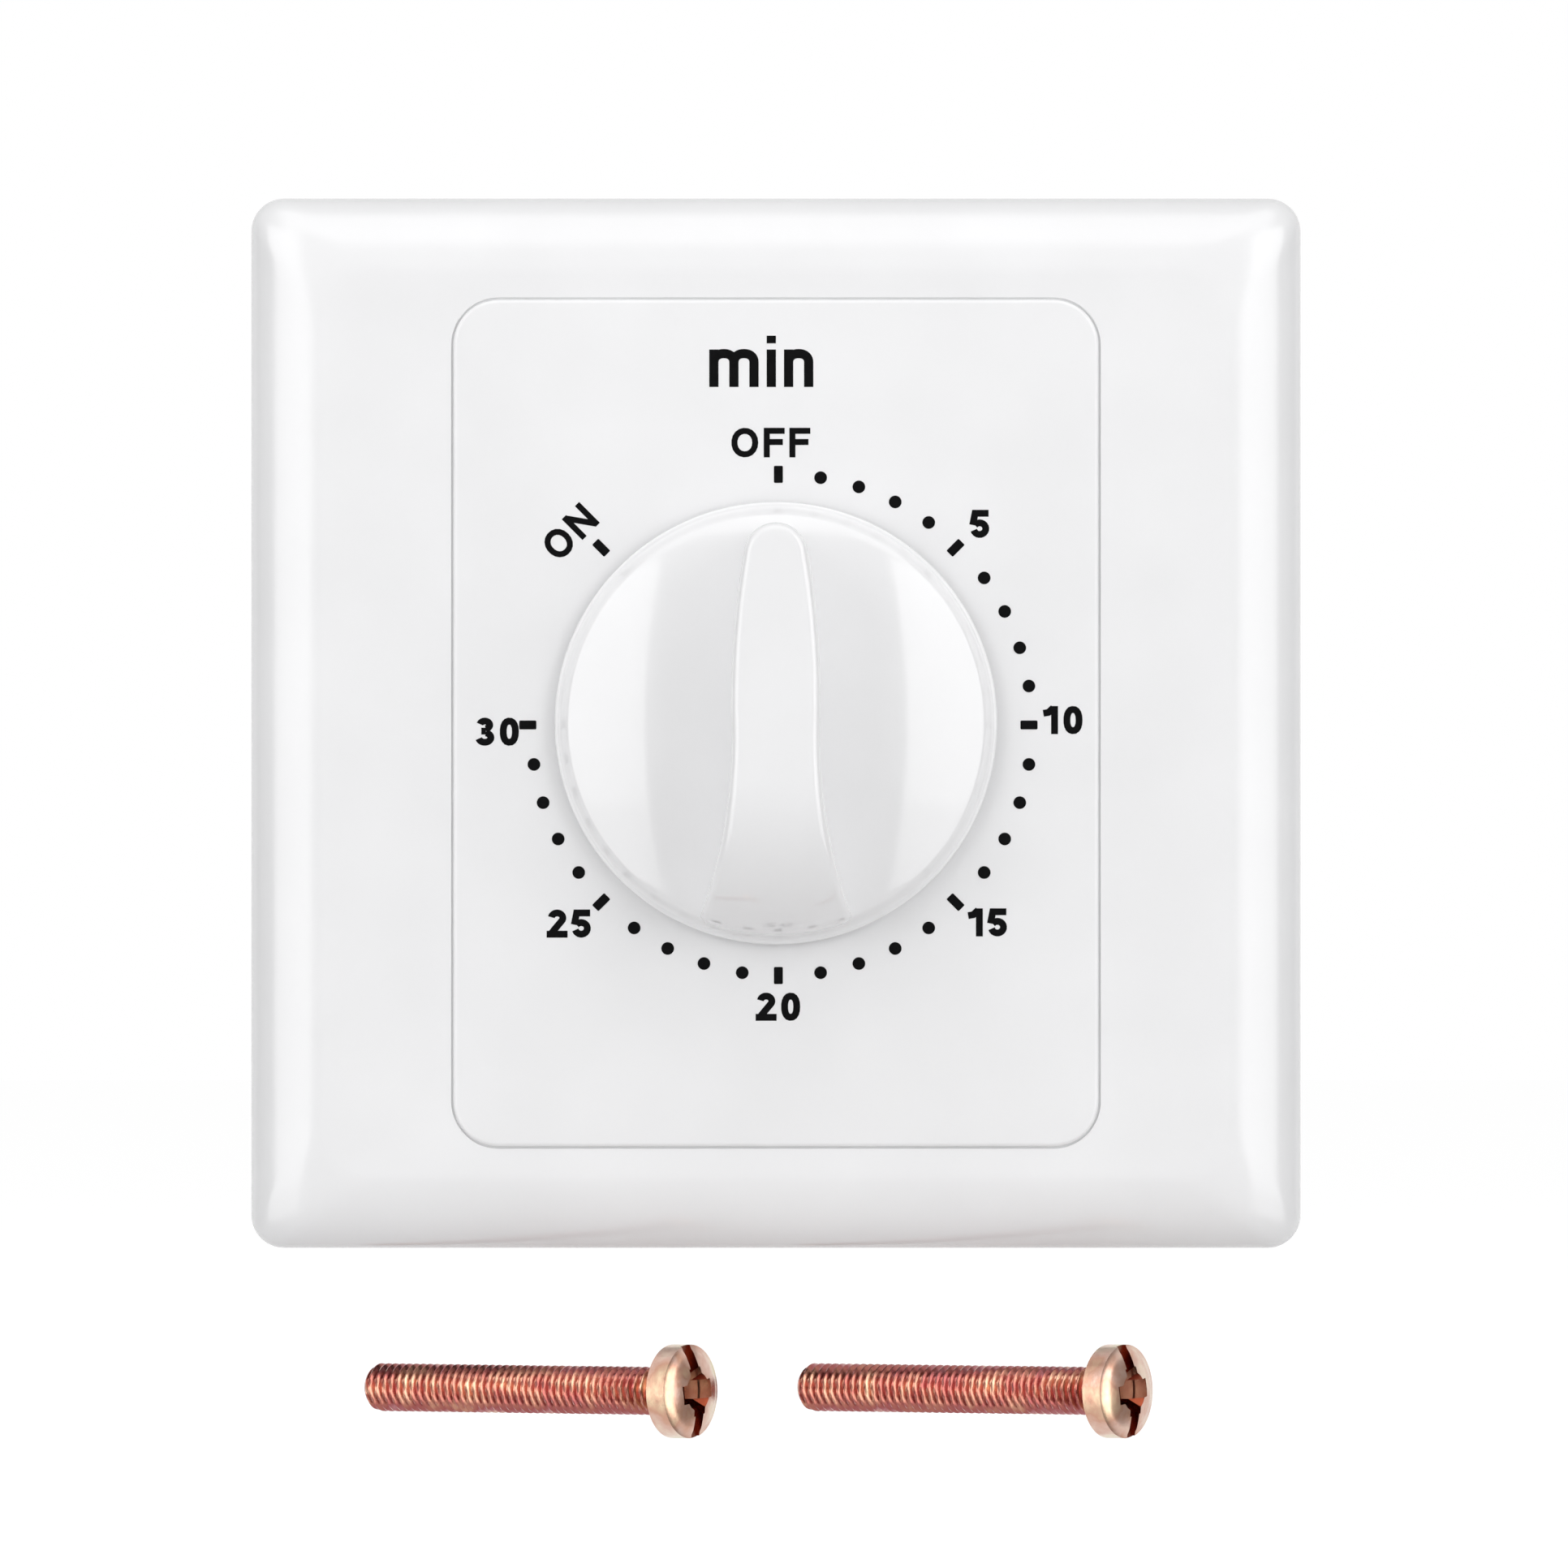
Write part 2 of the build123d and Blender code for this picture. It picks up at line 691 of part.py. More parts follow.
# Stop washer on the flatted shaft, whose lug meets the front plate's tab
with BuildPart() as stop_washer:
    with BuildSketch(wall_plane(hub_front)):
        Circle(stop_radius + stop_gap + stop_lug_reach)
        Polygon(
            *wedge(stop_lug_bearing, stop_lug_half_angle, stop_radius + stop_gap + stop_lug_reach),
            align=None,
            mode=Mode.INTERSECT,
        )
        Circle(stop_radius)
        Circle(shaft_radius, mode=Mode.SUBTRACT)
        with BuildSketch(mode=Mode.PRIVATE) as flat_segment:
            Circle(shaft_radius)
            with Locations((shaft_flat + shaft_radius / 2, 0)):
                Rectangle(shaft_radius, 2 * shaft_radius, mode=Mode.INTERSECT)
        add(flat_segment.sketch)
    extrude(amount=stop_thickness)
save(stop_washer.part, "stop_washer")

# Mainspring: one strip in half circles round the hub, hooked over its post
spring_turn = math.radians(spring_bearing)
spring_plane = Plane(
    origin=(0, -(spring_front + spring_back) / 2, 0),
    x_dir=(math.sin(spring_turn), 0, math.cos(spring_turn)),
    z_dir=(0, -1, 0),
)
with BuildPart() as mainspring:
    with BuildLine(spring_plane) as spring_path:
        for half_turn in range(spring_half_turns):
            radius = spring_start + half_turn * spring_pitch / 2
            centre = half_turn % 2 * spring_pitch / 2
            first_angle = half_turn % 2 * 180
            CenterArc((centre, 0), radius, first_angle, 180)
        CenterArc((spring_reach + hook_radius, 0), hook_radius, 180, -180)
    spring_section_plane = Plane(
        origin=spring_plane.from_local_coords((spring_start, 0, 0)),
        x_dir=spring_plane.x_dir,
        z_dir=spring_plane.y_dir,
    )
    with BuildSketch(spring_section_plane):
        Rectangle(spring_thickness, spring_width)
    sweep(path=spring_path.wire())
save(mainspring.part, "mainspring")
print("least gap between the mainspring's turns, mm:", round(spring_pitch - spring_thickness, 3))

# Post that holds the mainspring's outer end
with BuildPart() as spring_post:
    with BuildSketch(wall_plane(hub_back)):
        with Locations(post_place):
            Circle(post_radius)
    extrude(amount=panel_back - hub_back)
save(spring_post.part, "spring_post")


def wheel_windows(place, back, hub, rim):
    """The windows between a wheel's hub, spokes and rim, on the wheel's back face."""
    with BuildSketch(wall_plane(back)) as windows:
        with Locations(place):
            Circle(rim)
            Circle(hub, mode=Mode.SUBTRACT)
            with PolarLocations(rim / 2, spoke_count, start_angle=45):
                Rectangle(rim + spoke_width, spoke_width, mode=Mode.SUBTRACT)
    return windows.sketch


# Main wheel, loose on its arbor and driven through the clutch
main_phase = 0
main_root = (main_teeth / 2 + wheel_tooth_shares[0][1]) * main_module
with BuildPart() as main_wheel:
    with BuildSketch(wall_plane(main_back)):
        with BuildLine():
            Polyline(*gear_outline(main_place, main_teeth, main_module, wheel_tooth_shares, main_phase), close=True)
        make_face()
        Circle(rear_shaft_radius + running_clearance, mode=Mode.SUBTRACT)
    extrude(amount=main_wheel_thickness)
    main_windows = wheel_windows(main_place, main_back, clutch_radius + hub_gap, main_root - wheel_rim)
    extrude(main_windows, amount=main_wheel_thickness, mode=Mode.SUBTRACT)
save(main_wheel.part, "main_wheel")

# Clutch: a dished spring washer pressed on the wheel by a collet
clutch_front = main_back - hub_gap
clutch_back = clutch_front - clutch_rise
with BuildPart() as clutch_spring:
    clutch_bore = rear_shaft_radius + running_clearance
    with BuildSketch(axis_plane(main_place)):
        with BuildLine():
            Polyline(
                (clutch_radius, -clutch_front),
                (clutch_radius, -clutch_front + clutch_wall),
                (clutch_bore, -clutch_back),
                (clutch_bore, -clutch_back - clutch_wall),
                close=True,
            )
        make_face()
    revolve(axis=axis_at(main_place))
save(clutch_spring.part, "clutch_spring")

with BuildPart() as clutch_collet:
    with BuildSketch(wall_plane(clutch_back - collet_height)):
        Circle(collet_radius)
        Circle(rear_shaft_radius, mode=Mode.SUBTRACT)
    extrude(amount=collet_height)
save(clutch_collet.part, "clutch_collet")


def arbor_steps():
    """Steps of a train arbor, from its front pivot to its back one."""
    return (
        panel_back - end_shake,
        (pivot_radius, plate_seat - end_shake),
        (arbor_radius, rear_plate_front + end_shake),
        (pivot_radius, rear_plate_back + end_shake),
    )


# Second wheel and its arbor with the pinion that the main wheel drives
second_pinion_phase = meshed_phase(main_place, main_teeth, main_phase, second_place, second_pinion_teeth)
with BuildPart() as second_arbor:
    with BuildSketch(axis_plane(second_place)):
        with BuildLine():
            Polyline(*turned(arbor_steps()), close=True)
        make_face()
    revolve(axis=axis_at(second_place))
    with BuildSketch(wall_plane(main_back - pinion_overhang)):
        with BuildLine():
            Polyline(
                *gear_outline(
                    second_place, second_pinion_teeth, main_module, pinion_tooth_shares, second_pinion_phase
                ),
                close=True,
            )
        make_face()
    extrude(amount=main_wheel_thickness + 2 * pinion_overhang)
save(second_arbor.part, "second_arbor")

second_phase = 0
second_root = (second_teeth / 2 + wheel_tooth_shares[0][1]) * fine_module
with BuildPart() as second_wheel:
    with BuildSketch(wall_plane(second_back)):
        with BuildLine():
            Polyline(
                *gear_outline(second_place, second_teeth, fine_module, wheel_tooth_shares, second_phase), close=True
            )
        make_face()
        with Locations(second_place):
            Circle(arbor_radius, mode=Mode.SUBTRACT)
    extrude(amount=wheel_thickness)
    second_windows = wheel_windows(second_place, second_back, wheel_hub_radius, second_root - wheel_rim)
    extrude(second_windows, amount=wheel_thickness, mode=Mode.SUBTRACT)
save(second_wheel.part, "second_wheel")

# Third wheel and arbor
third_pinion_phase = meshed_phase(second_place, second_teeth, second_phase, third_place, third_pinion_teeth)
with BuildPart() as third_arbor:
    with BuildSketch(axis_plane(third_place)):
        with BuildLine():
            Polyline(*turned(arbor_steps()), close=True)
        make_face()
    revolve(axis=axis_at(third_place))
    with BuildSketch(wall_plane(third_front)):
        with BuildLine():
            Polyline(
                *gear_outline(third_place, third_pinion_teeth, fine_module, pinion_tooth_shares, third_pinion_phase),
                close=True,
            )
        make_face()
    extrude(amount=second_front - third_front + pinion_overhang)
save(third_arbor.part, "third_arbor")

third_phase = 0
third_root = (third_teeth / 2 + wheel_tooth_shares[0][1]) * fine_module
with BuildPart() as third_wheel:
    with BuildSketch(wall_plane(third_back)):
        with BuildLine():
            Polyline(*gear_outline(third_place, third_teeth, fine_module, wheel_tooth_shares, third_phase), close=True)
        make_face()
        with Locations(third_place):
            Circle(arbor_radius, mode=Mode.SUBTRACT)
    extrude(amount=wheel_thickness)
    third_windows = wheel_windows(third_place, third_back, wheel_hub_radius, third_root - wheel_rim)
    extrude(third_windows, amount=wheel_thickness, mode=Mode.SUBTRACT)
save(third_wheel.part, "third_wheel")

# Escape wheel, with leaning pointed teeth, and its arbor
escape_pinion_phase = meshed_phase(third_place, third_teeth, third_phase, escape_place, escape_pinion_teeth)
with BuildPart() as escape_arbor:
    with BuildSketch(axis_plane(escape_place)):
        with BuildLine():
            Polyline(*turned(arbor_steps()), close=True)
        make_face()
    revolve(axis=axis_at(escape_place))
    with BuildSketch(wall_plane(third_back - pinion_overhang / 2)):
        with BuildLine():
            Polyline(
                *gear_outline(
                    escape_place, escape_pinion_teeth, fine_module, pinion_tooth_shares, escape_pinion_phase
                ),
                close=True,
            )
        make_face()
    extrude(amount=wheel_thickness + pinion_overhang)
save(escape_arbor.part, "escape_arbor")

with BuildPart() as escape_wheel:
    escape_step = 2 * math.pi / escape_teeth
    tooth_points = []
    for tooth in range(escape_teeth):
        start = tooth * escape_step
        tip = start + escape_lean_share * escape_step
        tip_end = tip + escape_tip_share * escape_step
        tooth_points += [(start, escape_radius - escape_tooth_depth), (tip, escape_radius), (tip_end, escape_radius)]
    with BuildSketch(wall_plane(escape_back)):
        with BuildLine():
            Polyline(
                *[
                    (escape_place[0] + r * math.cos(a), escape_place[1] + r * math.sin(a))
                    for a, r in tooth_points
                ],
                close=True,
            )
        make_face()
        with Locations(escape_place):
            Circle(arbor_radius, mode=Mode.SUBTRACT)
    extrude(amount=escape_thickness)
save(escape_wheel.part, "escape_wheel")

# Pallet lever: two arms on the balance arbor, each with a pin that reaches past the escape wheel's rim
pin_places = [
    toward(escape_place, pallet_pin_circle, balance_bearing + side * pallet_half_angle) for side in (-1, 1)
]
pallet_back = escape_front + layer_gap / 2
with BuildPart() as pallet_lever:
    with BuildSketch(wall_plane(pallet_back)):
        for pin in pin_places:
            arm = (pin[0] - balance_place[0], pin[1] - balance_place[1])
            middle = ((pin[0] + balance_place[0]) / 2, (pin[1] + balance_place[1]) / 2)
            with Locations(middle):
                SlotCenterToCenter(
                    math.hypot(*arm), pallet_arm_width, rotation=math.degrees(math.atan2(arm[1], arm[0]))
                )
        with Locations(balance_place):
            Circle(balance_hub_radius)
            Circle(arbor_radius, mode=Mode.SUBTRACT)
    extrude(amount=pallet_thickness)
    with BuildSketch(wall_plane(escape_back)):
        with Locations(*pin_places):
            Circle(pallet_pin_radius)
    extrude(amount=pallet_back - escape_back)
save(pallet_lever.part, "pallet_lever")

with BuildPart() as balance_arbor:
    with BuildSketch(axis_plane(balance_place)):
        with BuildLine():
            Polyline(*turned(arbor_steps()), close=True)
        make_face()
    revolve(axis=axis_at(balance_place))
save(balance_arbor.part, "balance_arbor")

# Balance: a weighted ring on a cross bar
balance_back = main_front + balance_lift
with BuildPart() as balance_ring:
    with BuildSketch(wall_plane(balance_back)):
        with Locations(balance_place):
            Circle(balance_radius)
            Circle(balance_radius - balance_rim, mode=Mode.SUBTRACT)
            Rectangle(2 * balance_radius - balance_rim, balance_bar_width, rotation=-balance_bearing)
            Circle(balance_hub_radius)
            Circle(arbor_radius, mode=Mode.SUBTRACT)
    extrude(amount=balance_thickness)
save(balance_ring.part, "balance_ring")

# Switch housing: a tray open at the back, with corner bosses, a barrier and windows for the wires
terminal_bottom = terminal_top - terminal_height
housing_inner_x = housing_width - 2 * housing_wall
housing_inner_z = housing_height - 2 * housing_wall
with BuildPart() as switch_housing:
    with BuildSketch(wall_plane(housing_back)):
        RectangleRounded(housing_width, housing_height, housing_corner_radius)
    extrude(amount=housing_depth)
    with BuildSketch(wall_plane(housing_back)):
        RectangleRounded(housing_inner_x, housing_inner_z, housing_corner_radius - housing_wall)
    extrude(amount=housing_inside - housing_back, mode=Mode.SUBTRACT)
    with BuildSketch(wall_plane(housing_back)) as bosses:
        with Locations(*pillar_places):
            Circle(housing_boss_radius)
        with Locations((barrier_x, -housing_inner_z / 2 + (terminal_height + barrier_height) / 2)):
            Rectangle(barrier_wall, terminal_height + barrier_height - terminal_height / 2)
        RectangleRounded(housing_width, housing_height, housing_corner_radius, mode=Mode.INTERSECT)
    extrude(amount=housing_inside - housing_back)
    with BuildSketch(wall_plane(housing_back)):
        Circle(rear_shaft_radius + shaft_hole_clearance)
        with Locations(*pillar_places):
            Circle(housing_screw_hole)
    extrude(amount=housing_depth, mode=Mode.SUBTRACT)
    window_side = 2 * wire_bore_radius + 2 * wire_window_margin
    with BuildSketch(wall_plane(housing_back)):
        for x in terminal_places:
            with Locations((x, -housing_height / 2)):
                Rectangle(window_side, 2 * housing_wall + overrun)
    extrude(amount=housing_inside - housing_back, mode=Mode.SUBTRACT)
save(switch_housing.part, "switch_housing")

# Housing cover, with access to the terminal screws
terminal_screw_z = (terminal_top + terminal_bottom) / 2
terminal_back = housing_inside - terminal_depth
with BuildPart() as housing_cover:
    with BuildSketch(wall_plane(cover_back)):
        RectangleRounded(housing_width, housing_height, housing_corner_radius)
        with Locations(*pillar_places):
            Circle(housing_screw_hole, mode=Mode.SUBTRACT)
        for x in terminal_places:
            with Locations((x, terminal_screw_z)):
                Circle(terminal_screw_head_radius + access_clearance, mode=Mode.SUBTRACT)
    extrude(amount=cover_thickness)
    post_z = terminal_bottom + cover_post_radius
    with BuildSketch(wall_plane(housing_back)):
        for x in terminal_places:
            corner_x = terminal_width / 2 - cover_post_radius
            with Locations((x - corner_x, post_z), (x + corner_x, post_z)):
                Circle(cover_post_radius)
    extrude(amount=terminal_back - housing_back)
save(housing_cover.part, "housing_cover")

# Long screws through cover, housing and rear plate into the pillars
with BuildPart() as housing_screws:
    with BuildSketch(wall_plane(cover_back - housing_screw_head_height)):
        with Locations(*pillar_places):
            Circle(housing_screw_head_radius)
    extrude(amount=housing_screw_head_height)
    with BuildSketch(wall_plane(cover_back)):
        with Locations(*pillar_places):
            Circle(housing_screw_radius)
    extrude(amount=rear_plate_front + housing_screw_bite - cover_back)
save(housing_screws.part, "housing_screws")

# Switch cam: a nylon disc with a deep notch for OFF and a shallow dwell for ON
cam_front = housing_inside - cam_lift
cam_back = cam_front - cam_thickness
nose_place = cam_radius - cam_depth
with BuildPart() as switch_cam:
    with BuildSketch(wall_plane(cam_back)):
        Circle(cam_radius)
        Polygon(
            (nose_place, 0),
            (nose_place + nose_rise, nose_rise),
            (nose_place + nose_rise, -nose_rise),
            align=None,
            mode=Mode.SUBTRACT,
        )
        dwell_bearing = cam_nose_bearing + knob_range_back
        with Locations(toward((0, 0), cam_radius + nose_rise - cam_dwell_depth, dwell_bearing)):
            Circle(nose_rise, mode=Mode.SUBTRACT)
    extrude(amount=cam_thickness)
    hub_top = housing_inside - cam_end_gap
    hub_end = housing_back + cam_end_gap
    with BuildSketch(wall_plane(hub_end)):
        Circle(cam_hub_radius)
    extrude(amount=hub_top - hub_end)
    with BuildSketch(wall_plane(hub_end)):
        Circle(rear_shaft_radius)
        with Locations((rear_shaft_flat + rear_shaft_radius / 2, 0)):
            Rectangle(rear_shaft_radius, 2 * rear_shaft_radius, mode=Mode.SUBTRACT)
    extrude(amount=hub_top - hub_end, mode=Mode.SUBTRACT)
save(switch_cam.part, "switch_cam")

# Brass terminal blocks, each with a wire bore from below and a clamp screw from behind
wire_level = housing_inside - terminal_depth / 2
with BuildPart() as terminal_blocks:
    with BuildSketch(wall_plane(terminal_back)):
        for x in terminal_places:
            with Locations((x, terminal_screw_z)):
                Rectangle(terminal_width, terminal_height)
                Circle(terminal_screw_radius + screw_clearance, mode=Mode.SUBTRACT)
    extrude(amount=wire_level - terminal_back)
    with BuildSketch(wall_plane(wire_level)):
        for x in terminal_places:
            with Locations((x, terminal_screw_z)):
                Rectangle(terminal_width, terminal_height)
    extrude(amount=housing_inside - wire_level)
    with BuildSketch(Plane.XY.offset(terminal_bottom)):
        with Locations(*[(x, -wire_level) for x in terminal_places]):
            Circle(wire_bore_radius)
    extrude(amount=terminal_height, mode=Mode.SUBTRACT)
save(terminal_blocks.part, "terminal_blocks")

with BuildPart() as terminal_screws:
    screw_tip = wire_level - wire_bore_radius - terminal_screw_bore_gap
    head_seat = terminal_back - terminal_screw_gap
    for x in terminal_places:
        place = (x, terminal_screw_z)
        with BuildSketch(axis_plane(place)):
            with BuildLine():
                Polyline(
                    *turned(
                        (
                            screw_tip,
                            (terminal_screw_radius, head_seat),
                            (terminal_screw_head_radius, head_seat - terminal_screw_head_height),
                        )
                    ),
                    close=True,
                )
            make_face()
        revolve(axis=axis_at(place))
save(terminal_screws.part, "terminal_screws")

# Contact blades of spring bronze: a fixed one and a sprung one with a nose that rides on the cam
blade_level = (cam_front + cam_back) / 2
moving_foot_x = terminal_places[0] + terminal_width / 2 + blade_thickness / 2
foot_z = terminal_bottom + terminal_height - blade_foot_height
blade_points = (
    (moving_foot_x, foot_z),
    (moving_foot_x, terminal_top - blade_thickness),
    (moving_x, terminal_top - blade_thickness + blade_slant),
    (moving_x, -nose_rise),
    (nose_place + nose_gap + blade_thickness, 0),
    (moving_x, nose_rise),
    (moving_x, blade_top),
)
with BuildPart() as moving_blade:
    with BuildLine(wall_plane(blade_level)) as blade_path:
        FilletPolyline(*blade_points, radius=blade_bend_radius)
    with BuildSketch(Plane(origin=(moving_foot_x, -blade_level, foot_z), x_dir=(1, 0, 0), z_dir=(0, 0, 1))):
        Rectangle(blade_thickness, cam_thickness)
    sweep(path=blade_path.wire())
save(moving_blade.part, "moving_blade")

with BuildPart() as fixed_blade:
    with BuildSketch(Plane(origin=(fixed_x, -blade_level, foot_z), x_dir=(1, 0, 0), z_dir=(0, 0, 1))):
        Rectangle(blade_thickness, cam_thickness)
    extrude(amount=blade_top - foot_z)
save(fixed_blade.part, "fixed_blade")

# Silver contacts riveted to the blades
contact_z = blade_top - contact_drop
moving_contact_plane = Plane(
    origin=(moving_x + blade_thickness / 2, -blade_level, contact_z), x_dir=(0, 1, 0), z_dir=(1, 0, 0)
)
fixed_contact_plane = Plane(
    origin=(fixed_x - blade_thickness / 2, -blade_level, contact_z), x_dir=(0, 1, 0), z_dir=(-1, 0, 0)
)
with BuildPart() as moving_contact:
    with BuildSketch(moving_contact_plane):
        Circle(contact_radius)
    extrude(amount=contact_height)
save(moving_contact.part, "moving_contact")

with BuildPart() as fixed_contact:
    with BuildSketch(fixed_contact_plane):
        Circle(contact_radius)
    extrude(amount=contact_height)
save(fixed_contact.part, "fixed_contact")

# Space that the grip fills: flat above the knob axis, and falling all round to the rim below it
knob_top = knob_back + grip_height
dome_foot = knob_back + knob_lip_height + knob_side_height
dome_top = dome_foot + knob_dome_rise
dome_radius = knob_radius - knob_lip_width
dome_sphere = (dome_radius**2 + knob_dome_rise**2) / (2 * knob_dome_rise)
dome_centre = dome_top - dome_sphere
slope_height = knob_top - dome_foot
slope_start = grip_waist + grip_shoulder
with BuildPart() as grip_space:
    with BuildSketch(Plane.XY):
        with BuildLine():
            Polyline(
                (slope_start, -knob_top),
                (0, -knob_top),
                (0, -dome_foot),
                (dome_radius, -dome_foot),
            )
            TangentArc((slope_start, -knob_top), (dome_radius, -dome_foot), tangent=(1, 0))
        make_face()
    revolve(axis=Axis.Y, revolution_arc=180)
    with BuildSketch(wall_plane(dome_foot)):
        Rectangle(2 * knob_radius, knob_radius, align=(Align.CENTER, Align.MIN))
    extrude(amount=slope_height)

# Grip of the knob: a fan-shaped outline from its round tip to its spread foot
with BuildPart() as grip:
    with BuildSketch(wall_plane(dome_foot)):
        with BuildLine():
            tip_arc = CenterArc((0, grip_tip - grip_tip_radius), grip_tip_radius, 90, -grip_tip_sweep)
            flank_arc = TangentArc(tip_arc @ 1, (grip_waist, 0), tangent=tip_arc % 1)
            foot_arc = TangentArc(flank_arc @ 1, (grip_foot_reach, -knob_radius), tangent=flank_arc % 1)
            mirror(about=Plane.YZ)
            Line(foot_arc @ 1, (-grip_foot_reach, -knob_radius))
        make_face()
    extrude(amount=slope_height)
    add(grip_space.part, mode=Mode.INTERSECT)
    side_edges = grip.edges().filter_by(lambda edge: edge.geom_type != GeomType.LINE)
    crest_edges = side_edges.filter_by(lambda edge: -edge.center().Y > dome_top)
    fillet(crest_edges, radius=grip_edge_radius)

# Hollow under the knob, round its hub and ribs, with two cores up into the grip
hollow_radius = dome_radius - knob_wall
hollow_sphere = dome_sphere - knob_wall
hub_wall_radius = shaft_radius + knob_hub_wall
with BuildPart() as knob_hollow:
    with BuildSketch(axis_plane(main_place)):
        with BuildLine():
            hollow_edge = dome_centre + math.sqrt(hollow_sphere**2 - hollow_radius**2)
            hollow_middle = dome_centre + math.sqrt(hollow_sphere**2 - (hollow_radius / 2) ** 2)
            hollow_top = dome_centre + hollow_sphere
            Polyline((0, -hollow_top), (0, -knob_back), (hollow_radius, -knob_back), (hollow_radius, -hollow_edge))
            ThreePointArc((hollow_radius, -hollow_edge), (hollow_radius / 2, -hollow_middle), (0, -hollow_top))
        make_face()
    revolve(axis=axis_at(main_place))
    with BuildSketch(wall_plane(knob_back + knob_rib_lift)):
        with PolarLocations(knob_radius / 2, knob_rib_count, start_angle=30):
            Rectangle(knob_radius, knob_rib_width)
    extrude(amount=hollow_top - knob_back, mode=Mode.SUBTRACT)
    with BuildSketch(wall_plane(knob_back)):
        for z in grip_core_places:
            with Locations((0, z)):
                Rectangle(grip_core_width, grip_core_length)
    extrude(amount=grip_height - knob_wall)
    with BuildSketch(wall_plane(knob_back + knob_hub_lift)):
        Circle(hub_wall_radius)
    extrude(amount=grip_height, mode=Mode.SUBTRACT)

# Knob: a lipped low dome that carries the grip, with a flatted bore for the arbor
with BuildPart() as knob:
    with BuildSketch(axis_plane(main_place)):
        with BuildLine():
            dome_middle = dome_centre + math.sqrt(dome_sphere**2 - (dome_radius / 2) ** 2)
            Polyline(
                (0, -dome_top),
                (0, -knob_back),
                (knob_radius, -knob_back),
                (knob_radius, -knob_back - knob_lip_height),
                (dome_radius, -knob_back - knob_lip_height),
                (dome_radius, -dome_foot),
            )
            ThreePointArc((dome_radius, -dome_foot), (dome_radius / 2, -dome_middle), (0, -dome_top))
        make_face()
    revolve(axis=axis_at(main_place))
    add(grip.part)
    add(knob_hollow.part, mode=Mode.SUBTRACT)
    flat_reach = shaft_flat + knob_spring_thickness + 2 * knob_spring_gap
    with BuildSketch(wall_plane(knob_back)):
        Circle(shaft_radius + screw_clearance)
        with Locations((flat_reach + shaft_radius / 2, 0)):
            Rectangle(shaft_radius, 3 * shaft_radius, mode=Mode.SUBTRACT)
    extrude(amount=shaft_front + knob_bore_gap - knob_back, mode=Mode.SUBTRACT)
save(knob.part, "knob")

# Flat spring between the arbor's flat and the knob's bore, which holds the knob on
with BuildPart() as knob_spring:
    with BuildSketch(wall_plane(shaft_front - knob_spring_gap - knob_spring_length)):
        with Locations((shaft_flat + knob_spring_gap + knob_spring_thickness / 2, 0)):
            Rectangle(knob_spring_thickness, knob_spring_width)
    extrude(amount=knob_spring_length)
save(knob_spring.part, "knob_spring")

# The pair of wall box screws that come loose with the timer, laid out below it with their heads forward
screw_dome_rise = box_screw_head_height - box_screw_head_edge
screw_sphere = (box_screw_head_radius**2 + screw_dome_rise**2) / (2 * screw_dome_rise)
screw_dome_half = math.sqrt(screw_sphere**2 - box_screw_head_radius**2 / 4)
screw_dome_middle = box_screw_head_height - screw_sphere + screw_dome_half
screw_turn = math.radians(box_screw_turn)
screw_along = (math.sin(screw_turn), -math.cos(screw_turn), 0)
with BuildPart() as box_screws:
    for side in (-1, 1):
        seat = (box_screw_offset + side * box_screw_spread, -box_screw_level, -box_screw_drop)
        with BuildSketch(Plane(origin=seat, x_dir=(0, 0, 1), z_dir=(screw_along[1], -screw_along[0], 0))):
            with BuildLine():
                Polyline(
                    (0, -box_screw_head_height),
                    (0, box_screw_length),
                    (box_screw_radius, box_screw_length),
                    (box_screw_radius, 0),
                    (box_screw_head_radius, 0),
                    (box_screw_head_radius, -box_screw_head_edge),
                )
                ThreePointArc(
                    (box_screw_head_radius, -box_screw_head_edge),
                    (box_screw_head_radius / 2, -screw_dome_middle),
                    (0, -box_screw_head_height),
                )
            make_face()
        revolve(axis=Axis(seat, screw_along))
save(box_screws.part, "box_screws")
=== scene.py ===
import json
import math
import bpy
import bmesh
from mathutils import Matrix, Vector


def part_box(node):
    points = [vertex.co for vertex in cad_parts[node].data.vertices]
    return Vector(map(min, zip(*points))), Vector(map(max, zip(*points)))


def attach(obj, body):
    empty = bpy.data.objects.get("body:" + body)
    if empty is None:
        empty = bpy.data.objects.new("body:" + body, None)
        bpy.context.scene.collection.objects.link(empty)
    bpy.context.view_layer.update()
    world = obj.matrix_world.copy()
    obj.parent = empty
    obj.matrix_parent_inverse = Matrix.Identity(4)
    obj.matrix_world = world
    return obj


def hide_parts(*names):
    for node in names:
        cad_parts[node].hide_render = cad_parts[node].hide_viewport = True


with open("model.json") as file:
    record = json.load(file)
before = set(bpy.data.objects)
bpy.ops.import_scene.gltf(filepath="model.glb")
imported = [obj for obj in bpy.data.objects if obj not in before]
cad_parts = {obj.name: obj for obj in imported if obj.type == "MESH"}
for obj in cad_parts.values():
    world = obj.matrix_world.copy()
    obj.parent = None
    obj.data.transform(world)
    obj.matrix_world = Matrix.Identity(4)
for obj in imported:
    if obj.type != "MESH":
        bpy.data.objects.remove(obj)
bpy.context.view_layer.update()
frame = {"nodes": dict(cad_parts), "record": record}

# A clockwork lamp timer on a square wall plate. Sizes are in millimetres until a mesh is made.
# A level is a distance in front of the wall, along -Y; a bearing runs clockwise from straight up.
MM = 0.001

